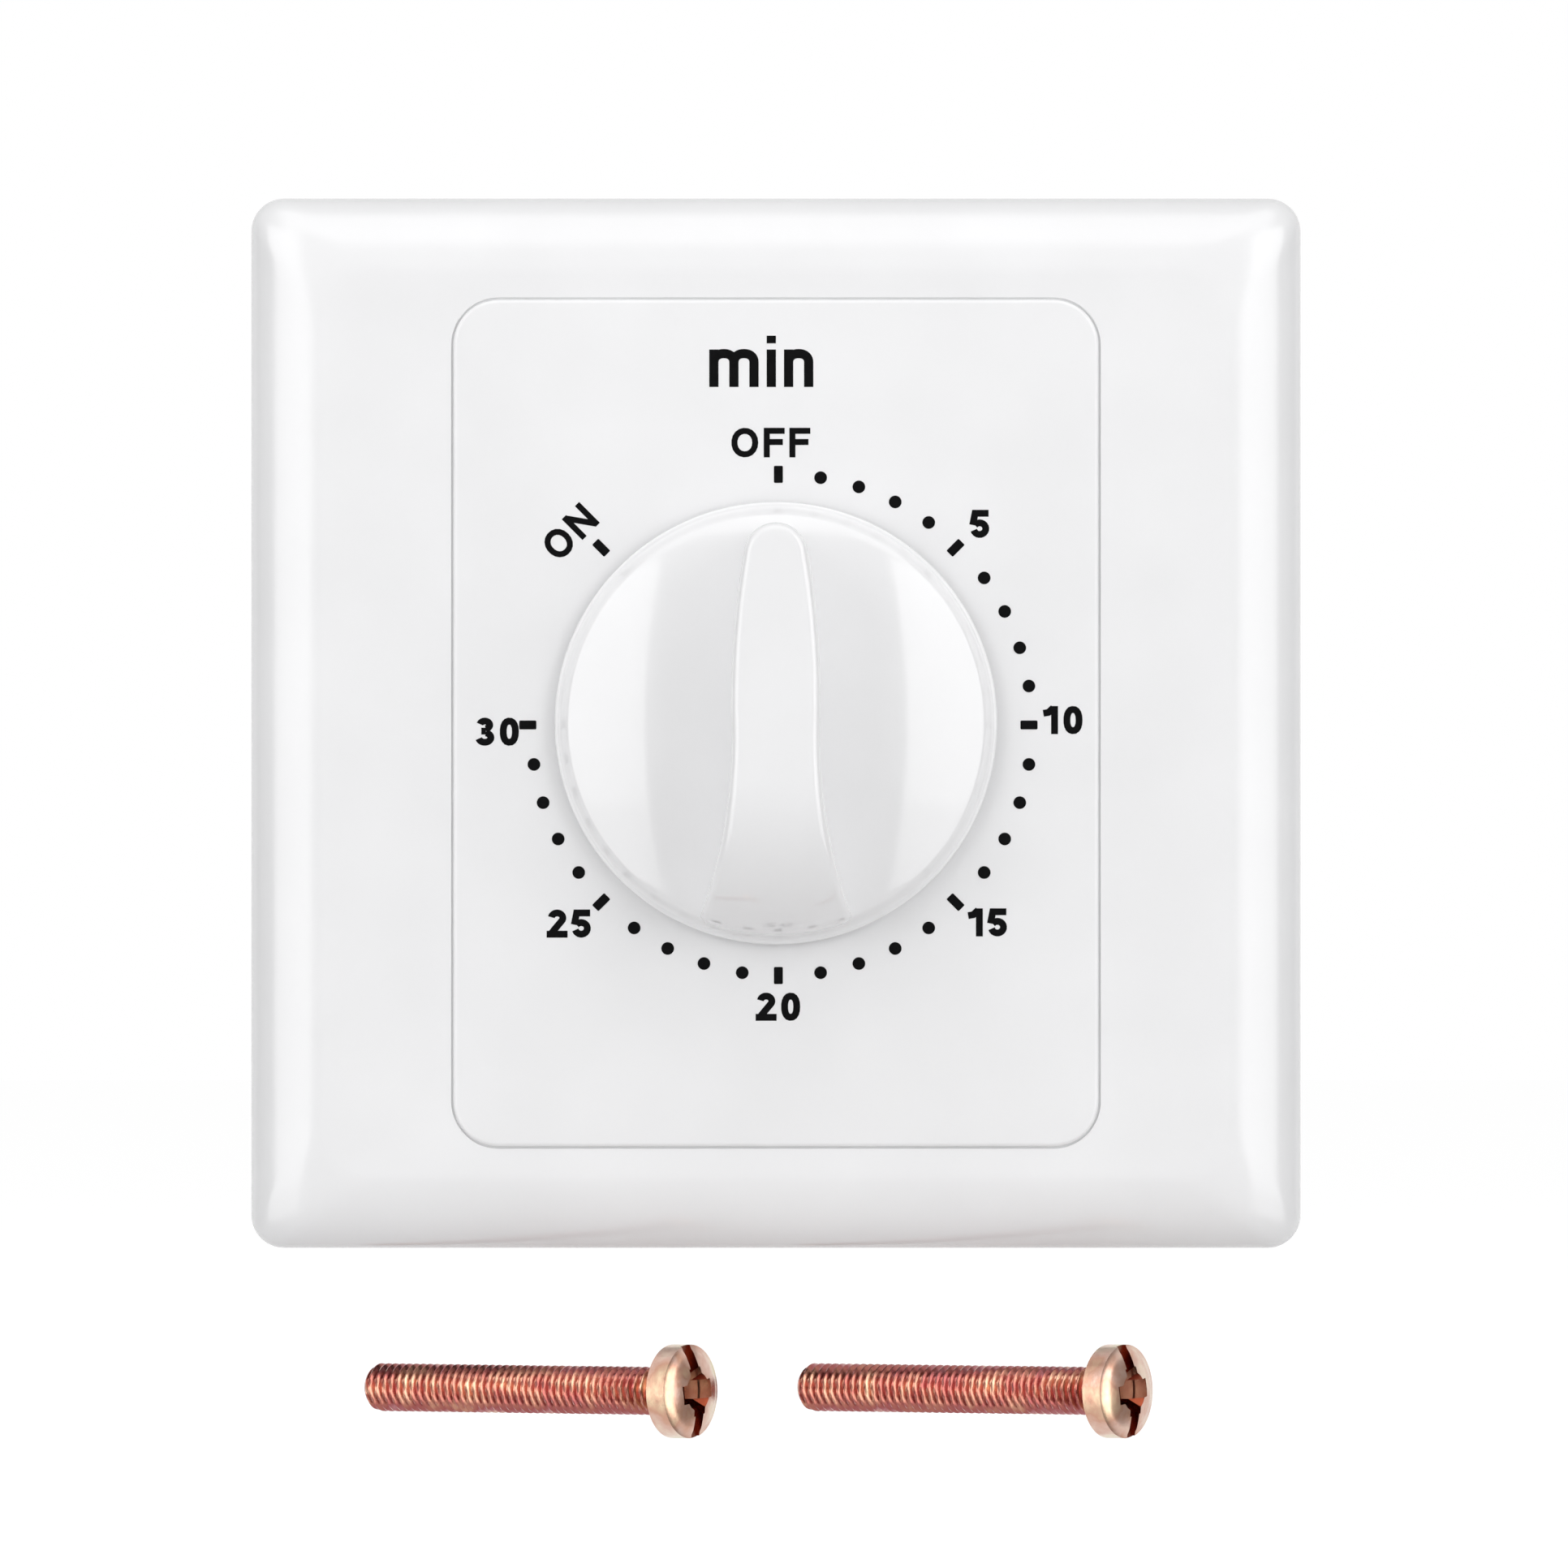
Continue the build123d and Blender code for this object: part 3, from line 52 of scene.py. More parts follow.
# Sizes of the pieces that the eye meets: the solids' own, but for fine edges and a closer gap round the panel
PLATE_HALF, PLATE_CORNER, PLATE_WALL, WALL_CORNER, PLATE_BACK = 43.0, 2.7, 2.0, 2.0, 0.2
PILLOW_WIDTH, PILLOW_HEIGHT, CORNER_GROWTH = 6.2, 4.5, 0.25
PILLOW_SWEEP, PILLOW_REACH, PILLOW_FADE = math.radians(76), 5.8, 0.3
FACE_LEVEL, INSIDE_LEVEL, LIP_LEVEL, LIP_WALL = 9.0, 7.0, 5.6, 1.2
OPENING_HALF, OPENING_CORNER, OPENING_EDGE = (26.55, 34.8), 3.85, 0.08
LEG_ROW, LEG_COLUMN, LEG_SIZE, LEG_BEAD = 39.0, 20.0, (8.0, 1.4), 0.12
PANEL_HALF, PANEL_CORNER, PANEL_EDGE = (26.4, 34.65), 3.7, 0.35
LEDGE_LEVELS, LEDGE_REACH = (7.9, 8.78), (0.145, 0.145)
PANEL_LEVEL, PANEL_BACK, SKIRT_LEVEL, SKIRT_WALL = 9.3, 7.3, 3.0, 1.2
BOSS_PLACES, BOSS_RADIUS, BASE_LEVEL = [(x, z) for x in (-20, 20) for z in (-31.0, 31.0)], 2.2, 2.5
SHAFT_HOLE, PANEL_SCREW_X = 5.6, 14.0
KNOB_RADIUS, DOME_RADIUS, KNOB_BACK, LIP_TOP = 18.1, 17.4, 9.8, 10.7
DOME_FOOT, DOME_TOP, GRIP_TOP = 11.7, 15.2, 24.0
KNOB_HOLLOW, HUB_RADIUS, BORE_RADIUS, BORE_END = 15.6, 5.2, 3.03, 17.6
# Print: dots and ticks stand on a ring of this radius, and each stroke of a figure rises a step over the last
DIAL_RADIUS, MARK_RISE, INK_RISE, INK_STEP = 20.5, 0.02, 0.012, 0.0015
# A rolled thread's depth as a share of its pitch, its point as a share of its radius, and its rings a turn
THREAD_DEPTH, THREAD_POINT, THREAD_RINGS = 0.55, 0.3, 9
# The moving blade's nose: how far it reaches up and down, and how far it is set back from the cam
NOSE_REACH, NOSE_SETBACK = 2.2, 0.86


def linear(code):
    """An sRGB hex colour as linear red, green, blue and alpha."""
    parts = [int(code[i : i + 2], 16) / 255 for i in (1, 3, 5)]
    return [p / 12.92 if p <= 0.04045 else ((p + 0.055) / 1.055) ** 2.4 for p in parts] + [1.0]


def add(tree, kind, settings=None, links=None):
    """Adds a node; settings are its own fields, links are sockets or fixed values for its inputs."""
    node = tree.nodes.new(kind)
    for field, value in (settings or {}).items():
        setattr(node, field, value)
    for key, source in (links or {}).items():
        if isinstance(source, bpy.types.NodeSocket):
            tree.links.new(source, node.inputs[key])
        else:
            node.inputs[key].default_value = source
    return node


MATH, VECTOR_MATH = "ShaderNodeMath", "ShaderNodeVectorMath"
COMBINE, NOISE = "ShaderNodeCombineXYZ", "ShaderNodeTexNoise"


# ---- Materials

def new_material(name):
    material = bpy.data.materials.new(name)
    material.use_nodes = True
    material.node_tree.nodes.clear()
    return material, material.node_tree


def ramp_between(tree, factor, stops):
    """A colour ramp whose stops are (place, hex colour)."""
    ramp = add(tree, "ShaderNodeValToRGB", None, {"Fac": factor})
    for place, code in stops[2:]:
        ramp.color_ramp.elements.new(place)
    for element, (place, code) in zip(ramp.color_ramp.elements, sorted(stops)):
        element.position = place
        element.color = linear(code)
    return ramp.outputs["Color"]


def surface(name, stops, colour_mm, detail, roughness, bump_mm, bump_height_mm, fixed, stretch=(1, 1, 1)):
    """A material of mottled colour and finely uneven surface, both patterns at real sizes in millimetres."""
    material, tree = new_material(name)
    place = add(tree, "ShaderNodeTexCoord").outputs["Object"]
    drawn = add(tree, "ShaderNodeMapping", None, {"Vector": place, "Scale": stretch}).outputs["Vector"]
    mottle = add(tree, NOISE, None, {"Vector": drawn, "Scale": 1 / (colour_mm * MM), "Detail": detail})
    colour = ramp_between(tree, mottle.outputs["Fac"], stops)
    low, high = roughness
    sheen = {"Value": mottle.outputs["Fac"], "From Min": 0.3, "From Max": 0.7, "To Min": low, "To Max": high}
    rough = add(tree, "ShaderNodeMapRange", None, sheen)
    grain = add(tree, NOISE, None, {"Vector": drawn, "Scale": 1 / (bump_mm * MM), "Detail": 2.0})
    relief = {"Height": grain.outputs["Fac"], "Distance": bump_height_mm * MM, "Strength": 1.0}
    bump = add(tree, "ShaderNodeBump", None, relief)
    links = {"Base Color": colour, "Roughness": rough.outputs["Result"], "Normal": bump.outputs["Normal"]}
    links.update(fixed)
    shader = add(tree, "ShaderNodeBsdfPrincipled", None, links)
    add(tree, "ShaderNodeOutputMaterial", None, {"Surface": shader.outputs[0]})
    return material


# Urea formaldehyde, compression moulded and polished: dense, cool white, a wet gloss with a faint orange peel
polished_urea = surface(
    "polished_urea", [(0.3, "#EFEFF0"), (0.7, "#F2F2F3")],
    9.0, 1.0, (0.17, 0.20), 2.4, 0.0016, {"IOR": 1.58},
)
# The knob is the same plastic, moulded in a finer mould: a shade whiter and a little glossier
knob_urea = surface(
    "knob_urea", [(0.3, "#EFEFF0"), (0.7, "#F1F1F2")],
    7.0, 1.0, (0.07, 0.09), 3.0, 0.0012, {"IOR": 1.58},
)
# ABS of the mounting base: dull moulded white with spark-eroded grain of about 0.3 mm
grained_abs = surface(
    "grained_abs", [(0.3, "#E2E2DF"), (0.7, "#E9E9E6")],
    6.0, 3.0, (0.42, 0.52), 0.35, 0.012, {"IOR": 1.53},
)
# Phenolic of the switch housing: near black, satin, with pale filler specks
filled_phenolic = surface(
    "filled_phenolic", [(0.25, "#1F2022"), (0.62, "#2B2C2F"), (0.8, "#3C3D40")],
    0.8, 6.0, (0.36, 0.5), 0.4, 0.010, {"IOR": 1.6},
)
# Natural nylon of the cam: waxy off-white, light goes a little way in
natural_nylon = surface(
    "natural_nylon", [(0.3, "#DDD9CC"), (0.7, "#E6E3D8")],
    3.0, 2.0, (0.38, 0.46), 0.5, 0.006,
    {"IOR": 1.53, "Subsurface Weight": 0.2, "Subsurface Radius": [0.001, 0.0009, 0.0007]},
)
# Bright zinc over rolled steel sheet: blue-grey, with the mill's fine lines lying one way, drawn 0.2 mm apart
zinc_sheet = surface(
    "zinc_sheet", [(0.3, "#A9AFB5"), (0.55, "#B9BEC2"), (0.75, "#C9CCCE")],
    2.6, 5.0, (0.26, 0.40), 0.2, 0.006, {"Metallic": 1.0}, (0.12, 1, 1),
)
# Bright zinc on small turned screws: cleaner and shinier than the sheet
zinc_screw = surface(
    "zinc_screw", [(0.3, "#B9BDC1"), (0.7, "#D3D5D6")],
    1.2, 3.0, (0.20, 0.32), 0.3, 0.004, {"Metallic": 1.0},
)
# Turned silver steel of the arbors: bright, with tool rings across the axis 0.15 mm apart
turned_steel = surface(
    "turned_steel", [(0.3, "#9FA1A4"), (0.7, "#BDBFC1")],
    1.5, 3.0, (0.16, 0.28), 0.6, 0.003, {"Metallic": 1.0}, (0.2, 4, 0.2),
)
# Clock brass, rolled hard and punched: warm yellow, lightly tarnished in patches of a few millimetres
rolled_brass = surface(
    "rolled_brass", [(0.25, "#B08D4C"), (0.5, "#C9A55C"), (0.75, "#DDBD76")],
    2.8, 5.0, (0.22, 0.38), 0.25, 0.005, {"Metallic": 1.0},
)
# Spring steel, tempered blue: dark blue that turns to straw and violet in patches along the strip
blued_steel = surface(
    "blued_steel", [(0.28, "#3B4A6B"), (0.5, "#44506E"), (0.66, "#6A5568"), (0.8, "#8A7450")],
    4.5, 3.0, (0.22, 0.34), 0.25, 0.004, {"Metallic": 1.0},
)
# Phosphor bronze strip: pinkish, sprung hard, satin
bronze_strip = surface(
    "bronze_strip", [(0.3, "#A9714C"), (0.7, "#C68C62")],
    2.2, 4.0, (0.24, 0.36), 0.2, 0.004, {"Metallic": 1.0},
)
# Silver contact rivets: white and soft, lightly dulled
silver_contact = surface(
    "silver_contact", [(0.3, "#CFCDC6"), (0.7, "#E7E5DF")],
    0.8, 3.0, (0.18, 0.30), 0.3, 0.003, {"Metallic": 1.0},
)
# Pad printing ink: black, thin and slightly matt, with a dusty edge
printing_ink = surface(
    "printing_ink", [(0.3, "#0A0A0B"), (0.7, "#101011")],
    0.6, 3.0, (0.5, 0.6), 0.15, 0.002, {"IOR": 1.5, "Specular IOR Level": 0.04},
)


def chromate(name, stops):
    """Yellow chromate over zinc: a thin film, so gold turns to rose, violet and green from patch to patch."""
    material, tree = new_material(name)
    place = add(tree, "ShaderNodeTexCoord").outputs["Object"]
    patch = add(tree, NOISE, None, {"Vector": place, "Scale": 1 / (2.2 * MM), "Detail": 3.0})
    edge = add(tree, "ShaderNodeLayerWeight", None, {"Blend": 0.45}).outputs["Facing"]
    patched = add(tree, MATH, {"operation": "MULTIPLY"}, {0: patch.outputs["Fac"], 1: 0.8}).outputs[0]
    film = add(tree, MATH, {"operation": "MULTIPLY_ADD"}, {0: edge, 1: 0.42, 2: patched}).outputs[0]
    colour = ramp_between(tree, film, stops)
    grain = add(tree, NOISE, None, {"Vector": place, "Scale": 1 / (0.5 * MM), "Detail": 2.0})
    relief = {"Height": grain.outputs["Fac"], "Distance": 0.006 * MM, "Strength": 1.0}
    bump = add(tree, "ShaderNodeBump", None, relief).outputs["Normal"]
    coat = {"Base Color": colour, "Metallic": 1.0, "Roughness": 0.24, "Normal": bump}
    shader = add(tree, "ShaderNodeBsdfPrincipled", None, coat)
    add(tree, "ShaderNodeOutputMaterial", None, {"Surface": shader.outputs[0]})
    return material


# On the rolled shank the film is thick and lies rose to red-brown
yellow_zinc = chromate("yellow_zinc", [
    (0.20, "#D8B698"), (0.36, "#BE8A74"), (0.48, "#A8685C"), (0.58, "#9C5654"),
    (0.68, "#AC7074"), (0.80, "#D2AC9E"), (0.92, "#CFC49E"),
])
# On the smooth head it is thinner: champagne with pink and green tints
pale_zinc = chromate("pale_zinc", [
    (0.20, "#EBDCC2"), (0.36, "#DDBFA0"), (0.50, "#CE9F88"),
    (0.62, "#D8B4A4"), (0.76, "#E6D0BC"), (0.92, "#D3CCA0"),
])
# In the recess the film gets darker red-brown colours: painted shade for the shadow deep in the slot and
# cross
recess_shade_zinc = chromate("recess_shade_zinc", [(0.25, "#6E3020"), (0.5, "#8E4630"), (0.75, "#B07058"), (0.95, "#C79A78")])


# ---- Mesh building

def piece_from(name, shells, material):
    """One object from closed shells of (vertices in mm as (x, level, z), faces), joined in one mesh."""
    built = bmesh.new()
    for vertices, faces in shells:
        made = [built.verts.new((x * MM, -level * MM, z * MM)) for x, level, z in vertices]
        for face in faces:
            corners = list(dict.fromkeys(made[i] for i in face))
            if len(corners) > 2:
                built.faces.new(corners)
    bmesh.ops.remove_doubles(built, verts=built.verts, dist=1e-8)
    bmesh.ops.recalc_face_normals(built, faces=built.faces)
    return object_of(name, built, material)


def object_of(name, built, material, sharp=32):
    """An object at the origin from a finished bmesh, smooth except where its faces meet at a sharp angle."""
    mesh = bpy.data.meshes.new(name)
    built.to_mesh(mesh)
    built.free()
    mesh.shade_smooth()
    mesh.set_sharp_from_angle(angle=math.radians(sharp))
    mesh.materials.append(material)
    piece = bpy.data.objects.new(name, mesh)
    bpy.context.scene.collection.objects.link(piece)
    return piece


def rings_shell(rings, joined):
    """A shell over rings of equally many points; joined says that the last ring meets the first."""
    count = len(rings[0])
    vertices = [point for ring in rings for point in ring]
    faces = []
    for i in range(len(rings) if joined else len(rings) - 1):
        a, b = i * count, (i + 1) % len(rings) * count
        faces += [(a + k, a + (k + 1) % count, b + (k + 1) % count, b + k) for k in range(count)]
    if not joined:
        faces += [tuple(range(count)), tuple(range(len(vertices) - count, len(vertices)))]
    return vertices, faces


def rounded_ring(half_x, half_z, radius, level):
    """A rounded rectangle as a ring, with extra points on its sides near the corners."""
    corners = []
    for across, up, start in ((1, 1, 0), (-1, 1, 90), (-1, -1, 180), (1, -1, 270)):
        turns = [math.radians(start + 90 * k / 14) for k in range(15)]
        x, z = across * (half_x - radius), up * (half_z - radius)
        corners.append([(x + radius * math.cos(a), z + radius * math.sin(a)) for a in turns])
    ring, side_shares = [], (0.006, 0.03, 0.12, 0.5, 0.88, 0.97, 0.994)
    for i, corner in enumerate(corners):
        ring += corner
        (x0, z0), (x1, z1) = corner[-1], corners[(i + 1) % 4][0]
        ring += [(x0 + (x1 - x0) * s, z0 + (z1 - z0) * s) for s in side_shares]
    return [(x, level, z) for x, z in ring]


def circle_ring(radius, level, like):
    """A circle with its points on the same bearings as another ring's."""
    bearings = [math.atan2(z, x) for x, _, z in like]
    return [(radius * math.cos(a), level, radius * math.sin(a)) for a in bearings]


def even_circle(radius, level, count, place=(0, 0)):
    turns = [2 * math.pi * k / count for k in range(count)]
    return [(place[0] + radius * math.cos(a), level, place[1] + radius * math.sin(a)) for a in turns]


def turned_shell(profile, count, place=(0, 0)):
    """A round solid from its (radius, level) profile, which starts and ends on the axis."""
    return rings_shell([even_circle(max(r, 1e-6), level, count, place) for r, level in profile], False)


def box_shell(low, high):
    """A plain block between two corners of (x, level, z), to be softened or joined to a larger piece."""
    (x0, l0, z0), (x1, l1, z1) = low, high
    base = [(x0, l0, z0), (x1, l0, z0), (x1, l0, z1), (x0, l0, z1)]
    return rings_shell([base, [(x, l1, z) for x, _, z in base]], False)


def cut(piece, cutters):
    """Cuts closed pieces out of another and removes them."""
    for cutter in cutters:
        modifier = piece.modifiers.new("cut", "BOOLEAN")
        modifier.operation = "DIFFERENCE"
        modifier.solver = "EXACT"
        modifier.material_mode = "TRANSFER"
        modifier.object = cutter
    flatten(piece)
    for cutter in cutters:
        bpy.data.objects.remove(cutter)
    return piece


def flatten(piece, sharp=32):
    """Turns a piece's modifiers into plain mesh."""
    graph = bpy.context.evaluated_depsgraph_get()
    graph.update()
    mesh = bpy.data.meshes.new_from_object(piece.evaluated_get(graph))
    piece.modifiers.clear()
    old = piece.data
    piece.data = mesh
    mesh.name = piece.name
    bpy.data.meshes.remove(old)
    mesh.shade_smooth()
    mesh.set_sharp_from_angle(angle=math.radians(sharp))
    return piece


def settle(piece, body, slot, *nodes):
    """Ties a finished piece to its body and hides the solids that it stands for; slot is not used."""
    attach(piece, body)
    if nodes:
        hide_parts(*nodes)
    return piece


# ---- Cover frame: pillow edge, flat face, soft opening edge, lip and snap legs
def cover_frame():
    rings = []
    # The pillow stops a little short of flat, which leaves the faint line round the face
    for k in range(20):
        turn = PILLOW_SWEEP * k / 19
        half = PLATE_HALF - PILLOW_REACH * (1 - math.cos(turn)) / (1 - math.cos(PILLOW_SWEEP))
        level = FACE_LEVEL - PILLOW_HEIGHT + PILLOW_HEIGHT * math.sin(turn) / math.sin(PILLOW_SWEEP)
        rings.append(rounded_ring(half, half, PLATE_CORNER + CORNER_GROWTH * (PLATE_HALF - half), level))
    half = PLATE_HALF - PILLOW_REACH - PILLOW_FADE
    rings.append(rounded_ring(half, half, PLATE_CORNER + CORNER_GROWTH * (PLATE_HALF - half), FACE_LEVEL))
    for k in range(7):
        turn = math.radians(15 * k)
        grow = OPENING_EDGE * (1 - math.sin(turn))
        half = [h + grow for h in OPENING_HALF]
        drop = OPENING_EDGE * (1 - math.cos(turn))
        rings.append(rounded_ring(*half, OPENING_CORNER + grow, FACE_LEVEL - drop))
    rings.append(rounded_ring(*OPENING_HALF, OPENING_CORNER, LIP_LEVEL))
    for level in (LIP_LEVEL, INSIDE_LEVEL):
        rings.append(rounded_ring(*[h + LIP_WALL for h in OPENING_HALF], OPENING_CORNER + LIP_WALL, level))
    for k in range(10):
        turn = math.radians(90 - 10 * k)
        half = PLATE_HALF - PILLOW_WIDTH + (PILLOW_WIDTH - PLATE_WALL) * math.cos(turn)
        level = FACE_LEVEL - PILLOW_HEIGHT + (PILLOW_HEIGHT - PLATE_WALL) * math.sin(turn)
        rings.append(rounded_ring(half, half, WALL_CORNER + CORNER_GROWTH * (PLATE_HALF - half), level))
    inner, outer, soft = PLATE_HALF - PLATE_WALL, PLATE_HALF, 0.2
    rings.append(rounded_ring(inner, inner, WALL_CORNER + 0.5, PLATE_BACK))
    rings.append(rounded_ring(outer - soft, outer - soft, PLATE_CORNER - soft, PLATE_BACK))
    rings.append(rounded_ring(outer, outer, PLATE_CORNER, PLATE_BACK + soft))
    shells = [rings_shell(rings, True)]
    wide, thick = LEG_SIZE
    for x in (-LEG_COLUMN, LEG_COLUMN):
        for z in (-LEG_ROW, LEG_ROW):
            outline = [
                (thick / 2, 0.8), (thick / 2 + LEG_BEAD, 1.0), (thick / 2 + LEG_BEAD, 1.35), (thick / 2, 1.6),
                (thick / 2, INSIDE_LEVEL + 0.4),
            ]
            both = outline + [(-t, level) for t, level in reversed(outline)]
            ends = [[(x + s * wide / 2, level, z + t) for t, level in both] for s in (-1, 1)]
            shells.append(rings_shell(ends, False))
    return settle(piece_from("cover_frame", shells, polished_urea), "cover", "cover_white", "outer_frame")


# ---- Dial panel: soft-edged face, skirt, bosses and two countersunk holes
def dial_panel():
    rings = [rounded_ring(*PANEL_HALF, PANEL_CORNER, SKIRT_LEVEL)]
    # A ledge low on the sides closes the gap to the frame, so that it shows as a fine grey line
    low, high = LEDGE_LEVELS
    for level, share in ((low - 0.2, 0), (low, 1), (high, 1), (high, 0)):
        half = [h + share * reach for h, reach in zip(PANEL_HALF, LEDGE_REACH)]
        rings.append(rounded_ring(*half, PANEL_CORNER + share * LEDGE_REACH[0], level))
    for k in range(7):
        turn = math.radians(15 * k)
        shrink = PANEL_EDGE * (1 - math.cos(turn))
        level = PANEL_LEVEL - PANEL_EDGE * (1 - math.sin(turn))
        rings.append(rounded_ring(*[h - shrink for h in PANEL_HALF], PANEL_CORNER - shrink, level))
    rim = rings[-1]
    rings += [circle_ring(SHAFT_HOLE, PANEL_LEVEL, rim), circle_ring(SHAFT_HOLE, PANEL_BACK, rim)]
    for level in (PANEL_BACK, SKIRT_LEVEL):
        rings.append(rounded_ring(*[h - SKIRT_WALL for h in PANEL_HALF], PANEL_CORNER - SKIRT_WALL, level))
    shells = [rings_shell(rings, True)]
    root = PANEL_BACK + 0.5
    boss = [(0, BASE_LEVEL), (BOSS_RADIUS, BASE_LEVEL), (BOSS_RADIUS, root), (0, root)]
    shells += [turned_shell(boss, 40, place) for place in BOSS_PLACES]
    panel = piece_from("dial_face", shells, polished_urea)
    # Each hole widens to the screw's head, and its cutter runs out past both faces
    hole, head, back, out = 1.65, 3.15, PANEL_BACK - 0.8, PANEL_LEVEL + 0.2
    profile = [(0, back), (hole, back), (hole, PANEL_LEVEL - 1.3), (head, out), (0, out)]
    shafts = [turned_shell(profile, 48, (x, 0)) for x in (-PANEL_SCREW_X, PANEL_SCREW_X)]
    sinks = [piece_from("sink", [shaft], polished_urea) for shaft in shafts]
    return settle(cut(panel, sinks), "base", "panel_white", "dial_panel")


# ---- Knob: lipped dome, fan-shaped grip with soft edges, hub and ribs behind
def dome_level(x, z):
    """The dome's level, on a sphere through its top and its foot."""
    sphere = (DOME_RADIUS**2 + (DOME_TOP - DOME_FOOT) ** 2) / (2 * (DOME_TOP - DOME_FOOT))
    return DOME_TOP - sphere + math.sqrt(max(sphere**2 - x * x - z * z, 0))


def crest_level(x, z):
    """The grip's top: flat above the knob's axis, and falling all round to the rim below it."""
    fall = GRIP_TOP - DOME_FOOT
    far = math.hypot(x, z) - (DOME_RADIUS - fall) if z < 0 else 0
    return DOME_FOOT + math.sqrt(max(fall**2 - far**2, 0)) if far > 0 else GRIP_TOP


def tangent_arc(start, heading, end, steps):
    """Points of the arc that leaves a point on a heading and ends at another point."""
    chord = Vector(end) - Vector(start)
    normal = Vector((-heading[1], heading[0]))
    radius = chord.length_squared / (2 * chord.dot(normal))
    centre = Vector(start) + normal * radius
    first = math.atan2(start[1] - centre[1], start[0] - centre[0])
    last = math.atan2(end[1] - centre[1], end[0] - centre[0])
    swing = (last - first + math.pi) % (2 * math.pi) - math.pi
    turns = [first + swing * k / steps for k in range(steps + 1)]
    points = [(centre[0] + abs(radius) * math.cos(a), centre[1] + abs(radius) * math.sin(a)) for a in turns]
    side = math.copysign(1, radius)
    return points, (-side * math.sin(last), side * math.cos(last))


def grip_outline():
    """The right half of the grip's outline, from its tip to where its foot meets the dome's rim."""
    tip, tip_radius, sweep, waist, foot = 16.3, 2.6, 80, 3.61, 7.1
    turns = [math.radians(90 - sweep * k / 16) for k in range(17)]
    nose = [(tip_radius * math.cos(a), tip - tip_radius + tip_radius * math.sin(a)) for a in turns]
    heading = (math.sin(turns[-1]), -math.cos(turns[-1]))
    flank, heading = tangent_arc(nose[-1], heading, (waist, 0), 26)
    fan, heading = tangent_arc(flank[-1], heading, (foot, -KNOB_RADIUS), 30)
    rim = DOME_RADIUS - 0.05
    fan = [p for p in fan if math.hypot(*p) < rim]
    points = nose + flank[1:] + fan[1:]
    last = math.atan2(points[-1][1], points[-1][0])
    steps = 12
    foot_arc = [last + (-math.pi / 2 - last) * k / steps for k in range(1, steps + 1)]
    return points + [(rim * math.cos(a), rim * math.sin(a)) for a in foot_arc]


def grip_shell():
    """The grip: walls up its outline, a rounded edge, and a top that closes on a spine."""
    right = grip_outline()
    outline = right + [(-x, z) for x, z in reversed(right[1:-1])]
    count = len(outline)
    inward = []
    for i in range(count):
        (x0, z0), (x1, z1) = outline[i - 1], outline[(i + 1) % count]
        (x, z), along = outline[i], Vector((x1 - x0, z1 - z0)).normalized()
        side = 1 if -along.y * x + along.x * (z + 1) < 0 else -1
        inward.append((-side * along.y, side * along.x))
    # The top's edge is rounded, less where the grip is low, and its walls start inside the dome
    edge, sunk = 0.75, 0.3

    def ring(inset_of, level_of):
        made = []
        for (x, z), (nx, nz) in zip(outline, inward):
            free = max(crest_level(x, z) - dome_level(x, z), 0.0)
            inset = inset_of(free)
            px, pz = x + nx * inset, z + nz * inset
            made.append((px, level_of(px, pz, free, x, z), pz))
        return made

    rings = []
    for share in (0.0, 0.35, 0.7, 0.94, 1.0):
        rings.append(ring(
            lambda free: 0.0,
            lambda px, pz, free, x, z: dome_level(x, z) - sunk
            + share * (crest_level(px, pz) - min(edge, free / 3) - dome_level(x, z) + sunk),
        ))
    for k in range(1, 9):
        turn = math.radians(90 * k / 8)
        rings.append(ring(
            lambda free: min(edge, free / 3) * (1 - math.cos(turn)),
            lambda px, pz, free, x, z: crest_level(px, pz) - min(edge, free / 3) * (1 - math.sin(turn)),
        ))
    last, spine_low, spine_high = rings[-1], -15.5, 13.4
    for share in (0.12, 0.3, 0.5, 0.7, 0.88):
        made = []
        for x, _, z in last:
            spine = min(max(z, spine_low), spine_high)
            px, pz = x * (1 - share), z + (spine - z) * share
            made.append((px, crest_level(px, pz), pz))
        rings.append(made)
    vertices = [point for one in rings for point in one]
    faces = rings_shell(rings, False)[1][:-2]
    # The last ring is closed across the spine, left point to right point
    top = len(vertices) - count
    half = len(right) - 1
    for k in range(half):
        left, left_next = (count - k) % count, count - k - 1
        faces.append((top + k, top + k + 1, top + left_next, top + left))
    faces.append(tuple(range(count)))
    return vertices, faces


